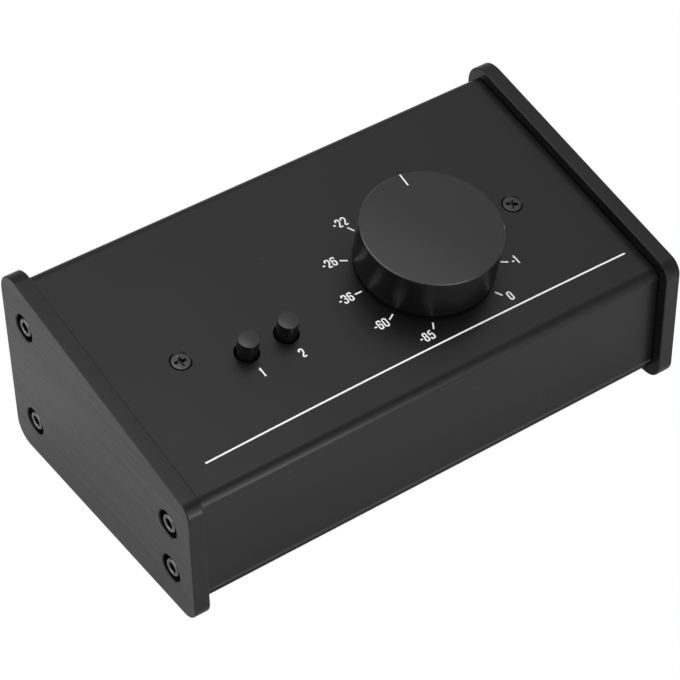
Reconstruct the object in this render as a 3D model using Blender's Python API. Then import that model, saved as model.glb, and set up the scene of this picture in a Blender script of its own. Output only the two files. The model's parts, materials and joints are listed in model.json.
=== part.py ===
"""A desktop monitor controller: a wedge-shaped case between two thick end plates.

A level dial and two push buttons sit on the sloped top, and four jacks in the rear wall.
Metres, +Z up, +Y to the rear, +X to the viewer's right. The origin lies on the desk, under
the middle of the case. Pieces on the sloped top hang on an empty whose local X, Y and Z run
along the case, up the slope and out of the panel.
"""

import math

import bmesh
import bpy
from mathutils import Matrix, Vector
from mathutils.geometry import interpolate_bezier

MM = 0.001

# Clearances
SEAT_GAP = 0.3 * MM
CUT_OVERRUN = 1.0 * MM
MERGE_DISTANCE = 0.0001 * MM

# End plates
CASE_LENGTH = 165.0 * MM
PLATE_THICKNESS = 4.9 * MM
PLATE_DEPTH = 91.7 * MM
PLATE_FRONT_HEIGHT = 42.1 * MM
PLATE_REAR_HEIGHT = 63.4 * MM
PLATE_FRONT_BOTTOM_RADIUS = 5.4 * MM
PLATE_FRONT_TOP_RADIUS = 4.8 * MM
PLATE_REAR_TOP_RADIUS = 7.2 * MM
PLATE_REAR_BOTTOM_RADIUS = 6.2 * MM
PLATE_CHAMFER = 0.3 * MM
PLATE_LIFT = 1.5 * MM

# Case shell, an extruded wedge between the plates
PLATE_OVERHANG = 3.35 * MM
UNDERSIDE_RECESS = 2.9 * MM
SHELL_WALL = 2.0 * MM
SHELL_BEND_RADIUS = 3.3 * MM
LEDGE_THICKNESS = 2.0 * MM
LEDGE_WIDTH = 13.0 * MM
REBATE_MARGIN = 4.6 * MM

# Screw channels inside the shell and the screws that hold the plates
CHANNEL_RADIUS = 3.6 * MM
CHANNEL_WEB = 2.0 * MM
FRONT_SCREW_INSET = 7.5 * MM
REAR_SCREW_INSET = 7.7 * MM
LOWER_SCREW_HEIGHT = 9.95 * MM
FRONT_UPPER_SCREW_DROP = 11.8 * MM
REAR_UPPER_SCREW_DROP = 9.9 * MM
COUNTERBORE_DIAMETER = 8.3 * MM
PLATE_SCREW_RECESS = 0.3 * MM
PLATE_SCREW_LENGTH = 10.0 * MM

# Fasteners of the common 3 mm size
THREAD_DIAMETER = 2.6 * MM
CAP_HEAD_DIAMETER = 5.5 * MM
CAP_HEAD_HEIGHT = 3.0 * MM
CAP_HEAD_CHAMFER = 0.3 * MM
HEX_KEY_SIZE = 2.5 * MM
HEX_KEY_DEPTH = 1.6 * MM
SUNK_HEAD_DIAMETER = 5.5 * MM
SUNK_RIM_GAP = 0.4 * MM
SUNK_FACE_DEPTH = 0.1 * MM
CROSS_SLOT_LENGTH = 3.2 * MM
CROSS_SLOT_WIDTH = 0.8 * MM
CROSS_SLOT_DEPTH = 0.9 * MM

# Bottom cover and feet
COVER_THICKNESS = 1.6 * MM
COVER_SCREW_LENGTH = 5.0 * MM
COVER_SCREW_END_INSET = 18.0 * MM
FOOT_TOP_DIAMETER = 12.0 * MM
FOOT_BOTTOM_DIAMETER = 10.5 * MM
FOOT_EDGE_CHAMFER = 0.8 * MM
FOOT_END_INSET = 22.0 * MM
FOOT_SIDE_INSET = 24.0 * MM

# Places on the sloped panel: across from the middle, and up the slope from its front line
DIAL_ACROSS = 21.55 * MM
DIAL_UP = 39.7 * MM
BUTTON_ACROSS = (-39.2 * MM, -26.3 * MM)
BUTTON_UP = 37.95 * MM
PANEL_SCREW_ACROSS = 56.15 * MM
PANEL_SCREW_UP = 45.0 * MM
PANEL_SCREW_LENGTH = 8.0 * MM

# Control board under the panel
STANDOFF_LENGTH = 11.4 * MM
STANDOFF_ACROSS_FLATS = 5.5 * MM
BOARD_THICKNESS = 1.6 * MM
CONTROL_BOARD_LENGTH = 128.0 * MM
CONTROL_BOARD_FRONT = 26.0 * MM
CONTROL_BOARD_REAR = 60.0 * MM
BOARD_SCREW_LENGTH = 6.0 * MM
BOARD_SCREW_HEAD = 2.0 * MM

# Level control
BUSHING_DIAMETER = 9.0 * MM
BUSHING_HEIGHT = 5.2 * MM
CONTROL_PLATE_WIDTH = 17.0 * MM
CONTROL_PLATE_THICKNESS = 1.4 * MM
CONTROL_CASE_DIAMETER = 16.6 * MM
CONTROL_POCKET_DEPTH = 3.0 * MM
SHAFT_DIAMETER = 6.0 * MM
SHAFT_CLEARANCE = 0.1 * MM
SHAFT_HEIGHT = 12.4 * MM
SHAFT_FLAT_DEPTH = 0.8 * MM
SHAFT_FLAT_HEIGHT = 6.0 * MM
PANEL_WASHER_DIAMETER = 13.5 * MM
PANEL_WASHER_THICKNESS = 0.5 * MM
PANEL_NUT_ACROSS_FLATS = 11.0 * MM
PANEL_NUT_HEIGHT = 2.0 * MM

# Knob
KNOB_DIAMETER = 40.5 * MM
KNOB_TOP = 14.95 * MM
KNOB_BOTTOM = 0.8 * MM
KNOB_CHAMFER = 0.35 * MM
KNOB_RECESS_DIAMETER = 16.0 * MM
KNOB_RECESS_TOP = 6.1 * MM
KNOB_POINTER_LENGTH = 4.5 * MM
KNOB_POINTER_WIDTH = 0.55 * MM
KNOB_POINTER_DEPTH = 0.25 * MM
KNOB_REST_ANGLE = math.radians(-10.0)
SET_SCREW_HEIGHT = 9.2 * MM
SET_SCREW_DIAMETER = 2.8 * MM
SET_SCREW_LENGTH = 5.0 * MM
SET_SCREW_KEY = 1.5 * MM

# Push buttons and their switches
BUTTON_DIAMETER = 6.0 * MM
BUTTON_HEIGHT = 6.1 * MM
BUTTON_SKIRT = 1.2 * MM
BUTTON_DISH_DEPTH = 0.35 * MM
BUTTON_EDGE = 0.25 * MM
BUTTON_HOLE_DIAMETER = 7.1 * MM
PLUNGER_WIDTH = 3.2 * MM
PLUNGER_SOCKET_DEPTH = 4.0 * MM
PLUNGER_CLEARANCE = 0.2 * MM
PLUNGER_INSERT = 3.0 * MM
SWITCH_WIDTH = 8.5 * MM
SWITCH_HEIGHT = 6.6 * MM
SWITCH_FLOOR = 0.8 * MM
SPRING_WIRE = 0.4 * MM
SPRING_MEAN_DIAMETER = 5.3 * MM
SPRING_TURNS = 4
SPRING_POINTS_PER_TURN = 12

# Rear jacks and their board
JACK_PITCH = 26.0 * MM
JACK_COUNT = 4
JACK_HEIGHT = 30.0 * MM
JACK_BODY_WIDTH = 15.6 * MM
JACK_BODY_HEIGHT = 12.4 * MM
JACK_BODY_DEPTH = 21.0 * MM
JACK_BARREL_DIAMETER = 9.4 * MM
JACK_BARREL_REACH = 2.9 * MM
JACK_BORE_DIAMETER = 6.5 * MM
JACK_BORE_DEPTH = 24.0 * MM
JACK_NUT_ACROSS_FLATS = 12.7 * MM
JACK_NUT_THICKNESS = 1.6 * MM
JACK_WASHER_DIAMETER = 13.6 * MM
JACK_WASHER_THICKNESS = 0.4 * MM
JACK_BOARD_LENGTH = 112.0 * MM
JACK_BOARD_INSET = 48.7 * MM

# Ribbon cable and its two connectors
HEADER_LENGTH = 16.0 * MM
HEADER_WIDTH = 6.0 * MM
HEADER_HEIGHT = 5.0 * MM
HEADER_ACROSS = -12.0 * MM
CONTROL_HEADER_UP = 33.0 * MM
RIBBON_WIDTH = 12.7 * MM
RIBBON_THICKNESS = 0.9 * MM
RIBBON_LEAD = 1.0 * MM
RIBBON_SLACK = 5.0 * MM

# Facets
CORNER_STEPS = 6
RIBBON_STEPS = 10
ROUND_STEPS = 24
KNOB_STEPS = 64
SMALL_ROUND_STEPS = 16
DISH_STEPS = 3
SHARP_ANGLE = math.radians(35.0)

# Worked out from the sizes above
SLOPE = math.atan2(PLATE_REAR_HEIGHT - PLATE_FRONT_HEIGHT, PLATE_DEPTH)
PLATE_FRONT_Y = -PLATE_DEPTH / 2
SHELL_FRONT_Y = PLATE_FRONT_Y + PLATE_OVERHANG
SHELL_REAR_Y = PLATE_DEPTH / 2 - PLATE_OVERHANG
SHELL_BOTTOM_Z = PLATE_LIFT + UNDERSIDE_RECESS
SHELL_HALF_LENGTH = CASE_LENGTH / 2 - PLATE_THICKNESS - SEAT_GAP
PANEL_FRONT_Z = PLATE_LIFT + PLATE_FRONT_HEIGHT - PLATE_OVERHANG / math.cos(SLOPE)
LEDGE_TOP_Z = SHELL_BOTTOM_Z + COVER_THICKNESS + SEAT_GAP + LEDGE_THICKNESS
THREAD_HOLE_RADIUS = THREAD_DIAMETER / 2 + SEAT_GAP
BOARD_TOP = -SHELL_WALL - SEAT_GAP - STANDOFF_LENGTH - SEAT_GAP
BOARD_BOTTOM = BOARD_TOP - BOARD_THICKNESS


def panel_top_z(y):
    """Height of the shell's sloped outer face above the desk at a depth."""
    return PANEL_FRONT_Z + math.tan(SLOPE) * (y - PLATE_FRONT_Y)


def clear_scene():
    """Removes every object of the startup scene."""
    for obj in list(bpy.data.objects):
        bpy.data.objects.remove(obj)


def make_material(name, colour, roughness, metallic):
    """A Principled material with a plain colour."""
    material = bpy.data.materials.new(name)
    material.use_nodes = True
    shader = material.node_tree.nodes["Principled BSDF"]
    shader.inputs["Base Color"].default_value = (*colour, 1.0)
    shader.inputs["Roughness"].default_value = roughness
    shader.inputs["Metallic"].default_value = metallic
    return material


def make_materials():
    """All finishes by name."""
    return {
        "painted_steel": make_material("painted_steel", (0.030, 0.030, 0.031), 0.45, 0.0),
        "brushed_black": make_material("brushed_black", (0.060, 0.060, 0.061), 0.38, 0.8),
        "knob_black": make_material("knob_black", (0.035, 0.035, 0.036), 0.35, 0.8),
        "button_black": make_material("button_black", (0.025, 0.025, 0.026), 0.35, 0.0),
        "black_screw": make_material("black_screw", (0.045, 0.045, 0.047), 0.35, 0.9),
        "zinc": make_material("zinc", (0.55, 0.55, 0.56), 0.35, 1.0),
        "brass": make_material("brass", (0.60, 0.45, 0.20), 0.35, 1.0),
        "rubber": make_material("rubber", (0.020, 0.020, 0.020), 0.85, 0.0),
        "board": make_material("board", (0.020, 0.120, 0.050), 0.45, 0.0),
        "moulded_black": make_material("moulded_black", (0.020, 0.020, 0.022), 0.40, 0.0),
        "ribbon": make_material("ribbon", (0.35, 0.36, 0.38), 0.50, 0.0),
    }


def add_object(name, bm, material=None, parent=None, place=(0, 0, 0), turn=(0, 0, 0)):
    """Turns a bmesh into a named object, smooth but for its sharp edges."""
    bmesh.ops.recalc_face_normals(bm, faces=bm.faces)
    mesh = bpy.data.meshes.new(name)
    bm.to_mesh(mesh)
    bm.free()
    mesh.shade_smooth()
    mesh.set_sharp_from_angle(angle=SHARP_ANGLE)
    if material is not None:
        mesh.materials.append(material)
    return link(name, mesh, parent, place, turn)


def link(name, data, parent=None, place=(0, 0, 0), turn=(0, 0, 0)):
    """Puts a mesh, a curve or, without data, an empty into the scene."""
    obj = bpy.data.objects.new(name, data)
    bpy.context.scene.collection.objects.link(obj)
    obj.parent = parent
    obj.location = place
    obj.rotation_euler = turn
    return obj


def apply_boolean(target, tool, operation="DIFFERENCE"):
    """Cuts the tool from the target, or joins it to it, and hides the tool."""
    tool.hide_render = True
    tool.display_type = "WIRE"
    modifier = target.modifiers.new(tool.name, "BOOLEAN")
    modifier.operation = operation
    modifier.solver = "EXACT"
    modifier.object = tool


def box(low, high):
    """A box between two corners."""
    low, high = Vector(low), Vector(high)
    size = high - low
    bm = bmesh.new()
    placed = Matrix.Translation((low + high) / 2) @ Matrix.Diagonal((*size, 1.0))
    bmesh.ops.create_cube(bm, size=1.0, matrix=placed)
    return bm


def prism(radius, bottom, top, sides):
    """An upright prism about local Z; many sides make a cylinder."""
    bm = bmesh.new()
    bmesh.ops.create_cone(
        bm,
        cap_ends=True,
        segments=sides,
        radius1=radius,
        radius2=radius,
        depth=top - bottom,
        matrix=Matrix.Translation((0, 0, (bottom + top) / 2)),
    )
    return bm


def hexagon(across_flats, bottom, top):
    """A hexagonal prism given by its width across flats."""
    return prism(across_flats / math.sqrt(3), bottom, top, 6)


def turned(profile, steps, closed=False):
    """Spins a profile of (radius, height) points about local Z.

    An open profile starts and ends on the axis; a closed one stays clear of it.
    """
    bm = bmesh.new()
    verts = [bm.verts.new((radius, 0, height)) for radius, height in profile]
    edges = [bm.edges.new(pair) for pair in zip(verts, verts[1:])]
    if closed:
        edges.append(bm.edges.new((verts[-1], verts[0])))
    bmesh.ops.spin(
        bm,
        geom=verts + edges,
        cent=(0, 0, 0),
        axis=(0, 0, 1),
        angle=math.tau,
        steps=steps,
        use_merge=True,
    )
    bmesh.ops.remove_doubles(bm, verts=bm.verts, dist=MERGE_DISTANCE)
    return bm


def rounded_outline(corners, radii):
    """Rounds each corner of a polygon with an arc, going once round."""
    outline = []
    for index, radius in enumerate(radii):
        corner = Vector(corners[index])
        before = (Vector(corners[index - 1]) - corner).normalized()
        after = (Vector(corners[(index + 1) % len(corners)]) - corner).normalized()
        half = before.angle(after) / 2
        centre = corner + (before + after).normalized() * (radius / math.sin(half))
        start = corner + before * (radius / math.tan(half)) - centre
        sweep = math.pi - 2 * half
        turn = math.copysign(1, start.cross(corner + after * (radius / math.tan(half)) - centre))
        for step in range(CORNER_STEPS + 1):
            angle = turn * sweep * step / CORNER_STEPS
            outline.append(centre + Matrix.Rotation(angle, 2) @ start)
    return outline


def extruded(outline, start, end, chamfer=0.0):
    """Extrudes an outline in the YZ plane along X, with chamfered end rims if asked."""
    bm = bmesh.new()
    face = bm.faces.new([bm.verts.new((start, y, z)) for y, z in outline])
    swept = bmesh.ops.extrude_face_region(bm, geom=[face], use_keep_orig=True)
    moved = [item for item in swept["geom"] if isinstance(item, bmesh.types.BMVert)]
    bmesh.ops.translate(bm, verts=moved, vec=(end - start, 0, 0))
    if chamfer:
        rims = [edge for edge in bm.edges if edge.verts[0].co.x == edge.verts[1].co.x]
        bmesh.ops.bevel(
            bm, geom=rims, offset=chamfer, segments=1, profile=0.5, affect="EDGES", material=-1
        )
    return bm


def wedge_corners(inset, bottom):
    """Corners of the case's wedge in (y, z), drawn in from the plates' edges."""
    front = PLATE_FRONT_Y + inset
    rear = PLATE_DEPTH / 2 - inset
    drop = PLATE_LIFT + PLATE_FRONT_HEIGHT - inset / math.cos(SLOPE)
    rise = math.tan(SLOPE)
    return [
        (front, bottom),
        (front, drop + rise * (front - PLATE_FRONT_Y)),
        (rear, drop + rise * (rear - PLATE_FRONT_Y)),
        (rear, bottom),
    ]


def plate_screw_places():
    """The four plate screws in (y, z), with the wall that each channel joins."""
    front = SHELL_FRONT_Y + FRONT_SCREW_INSET
    rear = SHELL_REAR_Y - REAR_SCREW_INSET
    low = SHELL_BOTTOM_Z + LOWER_SCREW_HEIGHT
    return {
        "front_lower": (front, low, SHELL_FRONT_Y),
        "front_upper": (front, panel_top_z(front) - FRONT_UPPER_SCREW_DROP, SHELL_FRONT_Y),
        "rear_upper": (rear, panel_top_z(rear) - REAR_UPPER_SCREW_DROP, SHELL_REAR_Y),
        "rear_lower": (rear, low, SHELL_REAR_Y),
    }


def cover_screw_places():
    """The four bottom screws in (x, y), in the middle of the ledges."""
    across = SHELL_HALF_LENGTH - COVER_SCREW_END_INSET
    inset = (REBATE_MARGIN + LEDGE_WIDTH) / 2
    return {
        "front_left": (-across, SHELL_FRONT_Y + inset),
        "front_right": (across, SHELL_FRONT_Y + inset),
        "rear_left": (-across, SHELL_REAR_Y - inset),
        "rear_right": (across, SHELL_REAR_Y - inset),
    }


def jack_places():
    """The jacks' X positions by name, evenly pitched about the middle."""
    names = ("left_input", "right_input", "left_output", "right_output")
    first = -JACK_PITCH * (JACK_COUNT - 1) / 2
    return {name: first + JACK_PITCH * index for index, name in enumerate(names)}


def panel_screw_places():
    """The two panel screws' places across the panel."""
    return {"left": -PANEL_SCREW_ACROSS, "right": PANEL_SCREW_ACROSS}


def sunk_head_height():
    """Height of a 90 degree countersunk head over its shank."""
    return (SUNK_HEAD_DIAMETER - THREAD_DIAMETER) / 2


def sink_cutter(through):
    """A countersink and its clearance hole, opening at local Z = 0 towards +Z."""
    mouth = SUNK_HEAD_DIAMETER / 2 + SUNK_RIM_GAP
    waist = THREAD_HOLE_RADIUS
    profile = [
        (0, CUT_OVERRUN),
        (mouth + CUT_OVERRUN, CUT_OVERRUN),
        (waist, waist - mouth),
        (waist, -through - CUT_OVERRUN),
        (0, -through - CUT_OVERRUN),
    ]
    return turned(profile, ROUND_STEPS)


def cut_hole(target, name, radius, bottom, top, parent=None, place=(0, 0, 0), turn=(0, 0, 0)):
    """Cuts a round hole along local Z."""
    cutter = add_object(
        name, prism(radius, bottom, top, ROUND_STEPS), parent=parent, place=place, turn=turn
    )
    apply_boolean(target, cutter)


def make_shell(materials, panel):
    """The extruded case: walls, screw channels, bottom ledges and every hole."""
    end = SHELL_HALF_LENGTH
    outer = rounded_outline(wedge_corners(PLATE_OVERHANG, SHELL_BOTTOM_Z), [SHELL_BEND_RADIUS] * 4)
    shell = add_object("case_shell", extruded(outer, -end, end), materials["painted_steel"])
    inner_radius = SHELL_BEND_RADIUS - SHELL_WALL
    inner = rounded_outline(
        wedge_corners(PLATE_OVERHANG + SHELL_WALL, LEDGE_TOP_Z), [inner_radius] * 4
    )
    hollow = extruded(inner, -end - CUT_OVERRUN, end + CUT_OVERRUN)
    apply_boolean(shell, add_object("hollow_cutter", hollow))
    add_channels(shell)
    rebate_top = SHELL_BOTTOM_Z + COVER_THICKNESS + SEAT_GAP
    for name, inset, top in (
        ("rebate_cutter", REBATE_MARGIN, rebate_top),
        ("bottom_cutter", LEDGE_WIDTH, LEDGE_TOP_Z + CUT_OVERRUN),
    ):
        low = (-end - CUT_OVERRUN, SHELL_FRONT_Y + inset, SHELL_BOTTOM_Z - CUT_OVERRUN)
        high = (end + CUT_OVERRUN, SHELL_REAR_Y - inset, top)
        apply_boolean(shell, add_object(name, box(low, high)))
    for name, (x, y) in cover_screw_places().items():
        bottom, top = rebate_top - CUT_OVERRUN, LEDGE_TOP_Z + CUT_OVERRUN
        cut_hole(shell, f"{name}_ledge_hole", THREAD_HOLE_RADIUS, bottom, top, place=(x, y, 0))
    cut_panel_holes(shell, panel)
    for name, x in jack_places().items():
        cut_hole(
            shell,
            f"{name}_wall_hole",
            JACK_BARREL_DIAMETER / 2 + SEAT_GAP,
            -SHELL_WALL - CUT_OVERRUN,
            CUT_OVERRUN,
            place=(x, SHELL_REAR_Y, PLATE_LIFT + JACK_HEIGHT),
            turn=(-math.pi / 2, 0, 0),
        )
    return shell


def add_channels(shell):
    """Joins the four screw channels and their webs to the shell, then bores them."""
    end = SHELL_HALF_LENGTH
    along_x = (0, math.pi / 2, 0)
    for name, (y, z, wall_y) in plate_screw_places().items():
        channel = add_object(
            f"{name}_channel",
            prism(CHANNEL_RADIUS, -end, end, SMALL_ROUND_STEPS),
            place=(0, y, z),
            turn=along_x,
        )
        apply_boolean(shell, channel, "UNION")
        inward = math.copysign(SHELL_WALL / 2, y - wall_y)
        near, far = sorted((wall_y + inward, y))
        web = box((-end, near, z - CHANNEL_WEB / 2), (end, far, z + CHANNEL_WEB / 2))
        apply_boolean(shell, add_object(f"{name}_web", web), "UNION")
        cut_hole(
            shell,
            f"{name}_bore",
            THREAD_HOLE_RADIUS,
            -end - CUT_OVERRUN,
            end + CUT_OVERRUN,
            place=(0, y, z),
            turn=along_x,
        )


def cut_panel_holes(shell, panel):
    """Cuts the sloped top: the bushing's hole, the button holes and the countersinks."""
    depth = -SHELL_WALL - CUT_OVERRUN
    cut_hole(
        shell,
        "bushing_hole",
        BUSHING_DIAMETER / 2 + SEAT_GAP,
        depth,
        CUT_OVERRUN,
        parent=panel,
        place=(DIAL_ACROSS, DIAL_UP, 0),
    )
    for side, across in zip(("left", "right"), BUTTON_ACROSS):
        cut_hole(
            shell,
            f"{side}_button_hole",
            BUTTON_HOLE_DIAMETER / 2,
            depth,
            CUT_OVERRUN,
            parent=panel,
            place=(across, BUTTON_UP, 0),
        )
    for side, across in panel_screw_places().items():
        place = (across, PANEL_SCREW_UP, 0)
        cutter = add_object(
            f"{side}_panel_sink", sink_cutter(SHELL_WALL), parent=panel, place=place
        )
        apply_boolean(shell, cutter)


def make_plates(materials):
    """The two end plates, each with four counterbored screw holes."""
    corners = wedge_corners(0, PLATE_LIFT)
    radii = [
        PLATE_FRONT_BOTTOM_RADIUS,
        PLATE_FRONT_TOP_RADIUS,
        PLATE_REAR_TOP_RADIUS,
        PLATE_REAR_BOTTOM_RADIUS,
    ]
    seat = CAP_HEAD_HEIGHT + PLATE_SCREW_RECESS + SEAT_GAP
    for side, sign in (("left", -1), ("right", 1)):
        outside = sign * CASE_LENGTH / 2
        inside = outside - sign * PLATE_THICKNESS
        body = extruded(rounded_outline(corners, radii), inside, outside, PLATE_CHAMFER)
        plate = add_object(f"{side}_end_plate", body, materials["brushed_black"])
        for name, (y, z, _) in plate_screw_places().items():
            place = (outside, y, z)
            turn = (0, sign * math.pi / 2, 0)
            profile = [
                (0, CUT_OVERRUN),
                (COUNTERBORE_DIAMETER / 2, CUT_OVERRUN),
                (COUNTERBORE_DIAMETER / 2, -seat),
                (THREAD_HOLE_RADIUS, -seat),
                (THREAD_HOLE_RADIUS, -PLATE_THICKNESS - CUT_OVERRUN),
                (0, -PLATE_THICKNESS - CUT_OVERRUN),
            ]
            cutter = add_object(
                f"{side}_{name}_counterbore", turned(profile, ROUND_STEPS), place=place, turn=turn
            )
            apply_boolean(plate, cutter)
            make_cap_screw(f"{side}_{name}_plate_screw", materials["black_screw"], place, turn)


def make_cap_screw(name, material, place, turn):
    """A socket head screw whose head lies just under local Z = 0."""
    top = -PLATE_SCREW_RECESS
    seat = top - CAP_HEAD_HEIGHT
    head = CAP_HEAD_DIAMETER / 2
    thread = THREAD_DIAMETER / 2
    profile = [
        (0, top),
        (head - CAP_HEAD_CHAMFER, top),
        (head, top - CAP_HEAD_CHAMFER),
        (head, seat),
        (thread, seat),
        (thread, seat - PLATE_SCREW_LENGTH),
        (0, seat - PLATE_SCREW_LENGTH),
    ]
    screw = add_object(name, turned(profile, SMALL_ROUND_STEPS), material, place=place, turn=turn)
    socket = hexagon(HEX_KEY_SIZE, top - HEX_KEY_DEPTH, top + CUT_OVERRUN)
    apply_boolean(screw, add_object(f"{name}_socket", socket, place=place, turn=turn))


def make_sunk_screw(name, material, length, parent=None, place=(0, 0, 0), turn=(0, 0, 0)):
    """A countersunk cross-head screw whose head lies just under local Z = 0."""
    top = -SUNK_FACE_DEPTH
    head = SUNK_HEAD_DIAMETER / 2
    thread = THREAD_DIAMETER / 2
    profile = [
        (0, top),
        (head, top),
        (thread, top - sunk_head_height()),
        (thread, -length),
        (0, -length),
    ]
    where = {"parent": parent, "place": place, "turn": turn}
    screw = add_object(name, turned(profile, SMALL_ROUND_STEPS), material, **where)
    long, wide = CROSS_SLOT_LENGTH / 2, CROSS_SLOT_WIDTH / 2
    for arm, (x, y) in (("first", (long, wide)), ("second", (wide, long))):
        slot = box((-x, -y, top - CROSS_SLOT_DEPTH), (x, y, CUT_OVERRUN))
        apply_boolean(screw, add_object(f"{name}_{arm}_slot", slot, **where))


def make_bottom(materials):
    """The bottom cover in its rebate, its four screws and the four feet."""
    end = SHELL_HALF_LENGTH
    front = SHELL_FRONT_Y + REBATE_MARGIN + SEAT_GAP
    rear = SHELL_REAR_Y - REBATE_MARGIN - SEAT_GAP
    top = SHELL_BOTTOM_Z + COVER_THICKNESS
    cover = add_object(
        "bottom_cover",
        box((-end, front, SHELL_BOTTOM_Z), (end, rear, top)),
        materials["painted_steel"],
    )
    upside_down = (math.pi, 0, 0)
    for name, (x, y) in cover_screw_places().items():
        place = (x, y, SHELL_BOTTOM_Z)
        cutter = add_object(
            f"{name}_cover_sink", sink_cutter(COVER_THICKNESS), place=place, turn=upside_down
        )
        apply_boolean(cover, cutter)
        screw = f"{name}_cover_screw"
        make_sunk_screw(
            screw, materials["black_screw"], COVER_SCREW_LENGTH, place=place, turn=upside_down
        )
    top_z = SHELL_BOTTOM_Z - SEAT_GAP
    low = FOOT_BOTTOM_DIAMETER / 2
    profile = [
        (0, top_z),
        (FOOT_TOP_DIAMETER / 2, top_z),
        (low, FOOT_EDGE_CHAMFER),
        (low - FOOT_EDGE_CHAMFER, 0),
        (0, 0),
    ]
    x = SHELL_HALF_LENGTH - FOOT_END_INSET
    for depth, y in (
        ("front", SHELL_FRONT_Y + FOOT_SIDE_INSET),
        ("rear", SHELL_REAR_Y - FOOT_SIDE_INSET),
    ):
        for side, sign in (("left", -1), ("right", 1)):
            foot = turned(profile, ROUND_STEPS)
            add_object(f"{depth}_{side}_foot", foot, materials["rubber"], place=(sign * x, y, 0))


def make_control_board(materials, panel):
    """The board under the panel, on two standoffs held by the panel screws."""
    half = CONTROL_BOARD_LENGTH / 2
    low = (-half, CONTROL_BOARD_FRONT, BOARD_BOTTOM)
    high = (half, CONTROL_BOARD_REAR, BOARD_TOP)
    board = add_object("control_board", box(low, high), materials["board"], parent=panel)
    bottom = BOARD_TOP + SEAT_GAP
    for side, across in panel_screw_places().items():
        place = (across, PANEL_SCREW_UP, 0)
        make_sunk_screw(
            f"{side}_panel_screw", materials["black_screw"], PANEL_SCREW_LENGTH, panel, place
        )
        standoff = add_object(
            f"{side}_standoff",
            hexagon(STANDOFF_ACROSS_FLATS, bottom, bottom + STANDOFF_LENGTH),
            materials["brass"],
            parent=panel,
            place=place,
        )
        cut_hole(
            standoff,
            f"{side}_standoff_bore",
            THREAD_HOLE_RADIUS,
            bottom - CUT_OVERRUN,
            bottom + STANDOFF_LENGTH + CUT_OVERRUN,
            parent=panel,
            place=place,
        )
        cut_hole(
            board,
            f"{side}_board_hole",
            THREAD_HOLE_RADIUS,
            BOARD_BOTTOM - CUT_OVERRUN,
            BOARD_TOP + CUT_OVERRUN,
            parent=panel,
            place=place,
        )
        head_top = BOARD_BOTTOM - SEAT_GAP
        profile = [
            (0, head_top + BOARD_SCREW_LENGTH),
            (THREAD_DIAMETER / 2, head_top + BOARD_SCREW_LENGTH),
            (THREAD_DIAMETER / 2, head_top),
            (CAP_HEAD_DIAMETER / 2, head_top),
            (CAP_HEAD_DIAMETER / 2, head_top - BOARD_SCREW_HEAD),
            (0, head_top - BOARD_SCREW_HEAD),
        ]
        screw = turned(profile, SMALL_ROUND_STEPS)
        add_object(f"{side}_board_screw", screw, materials["zinc"], parent=panel, place=place)


def make_level_control(materials, dial):
    """The rotary control: case, bushing with its plate, turning shaft, washer and nut."""
    bushing_radius = BUSHING_DIAMETER / 2
    bore = SHAFT_DIAMETER / 2 + SHAFT_CLEARANCE
    plate_top = -SHELL_WALL - SEAT_GAP
    plate_bottom = plate_top - CONTROL_PLATE_THICKNESS
    half = CONTROL_PLATE_WIDTH / 2
    bushing = add_object(
        "control_bushing",
        box((-half, -half, plate_bottom), (half, half, plate_top)),
        materials["zinc"],
        parent=dial,
    )
    sleeve = prism(bushing_radius, plate_bottom, BUSHING_HEIGHT, ROUND_STEPS)
    apply_boolean(bushing, add_object("bushing_sleeve", sleeve, parent=dial), "UNION")
    low, high = plate_bottom - CUT_OVERRUN, BUSHING_HEIGHT + CUT_OVERRUN
    cut_hole(bushing, "bushing_bore", bore, low, high, parent=dial)
    case_top = plate_bottom - SEAT_GAP
    case_bottom = BOARD_TOP + SEAT_GAP
    radius = CONTROL_CASE_DIAMETER / 2
    pocket = bore + SEAT_GAP
    pocket_floor = case_top - CONTROL_POCKET_DEPTH
    profile = [
        (0, pocket_floor),
        (pocket, pocket_floor),
        (pocket, case_top),
        (radius, case_top),
        (radius, case_bottom),
        (0, case_bottom),
    ]
    case = turned(profile, ROUND_STEPS)
    add_object("control_case", case, materials["moulded_black"], parent=dial)
    shaft = add_object(
        "control_shaft",
        prism(SHAFT_DIAMETER / 2, pocket_floor + SEAT_GAP, SHAFT_HEIGHT, ROUND_STEPS),
        materials["zinc"],
        parent=dial,
        turn=(0, 0, KNOB_REST_ANGLE),
    )
    flat = SHAFT_DIAMETER / 2 - SHAFT_FLAT_DEPTH
    reach = SHAFT_DIAMETER / 2 + CUT_OVERRUN
    flat_cutter = box((-reach, flat, SHAFT_FLAT_HEIGHT), (reach, reach, SHAFT_HEIGHT + CUT_OVERRUN))
    cutter = add_object("shaft_flat", flat_cutter, parent=dial, turn=(0, 0, KNOB_REST_ANGLE))
    apply_boolean(shaft, cutter)
    inside = bushing_radius + SEAT_GAP
    top = SEAT_GAP + PANEL_WASHER_THICKNESS
    ring = [
        (inside, SEAT_GAP),
        (PANEL_WASHER_DIAMETER / 2, SEAT_GAP),
        (PANEL_WASHER_DIAMETER / 2, top),
        (inside, top),
    ]
    washer = turned(ring, ROUND_STEPS, closed=True)
    add_object("control_washer", washer, materials["zinc"], parent=dial)
    nut_bottom = top + SEAT_GAP
    nut_top = nut_bottom + PANEL_NUT_HEIGHT
    nut = add_object(
        "control_nut",
        hexagon(PANEL_NUT_ACROSS_FLATS, nut_bottom, nut_top),
        materials["zinc"],
        parent=dial,
    )
    low, high = nut_bottom - CUT_OVERRUN, nut_top + CUT_OVERRUN
    cut_hole(nut, "control_nut_bore", inside, low, high, parent=dial)


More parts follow.
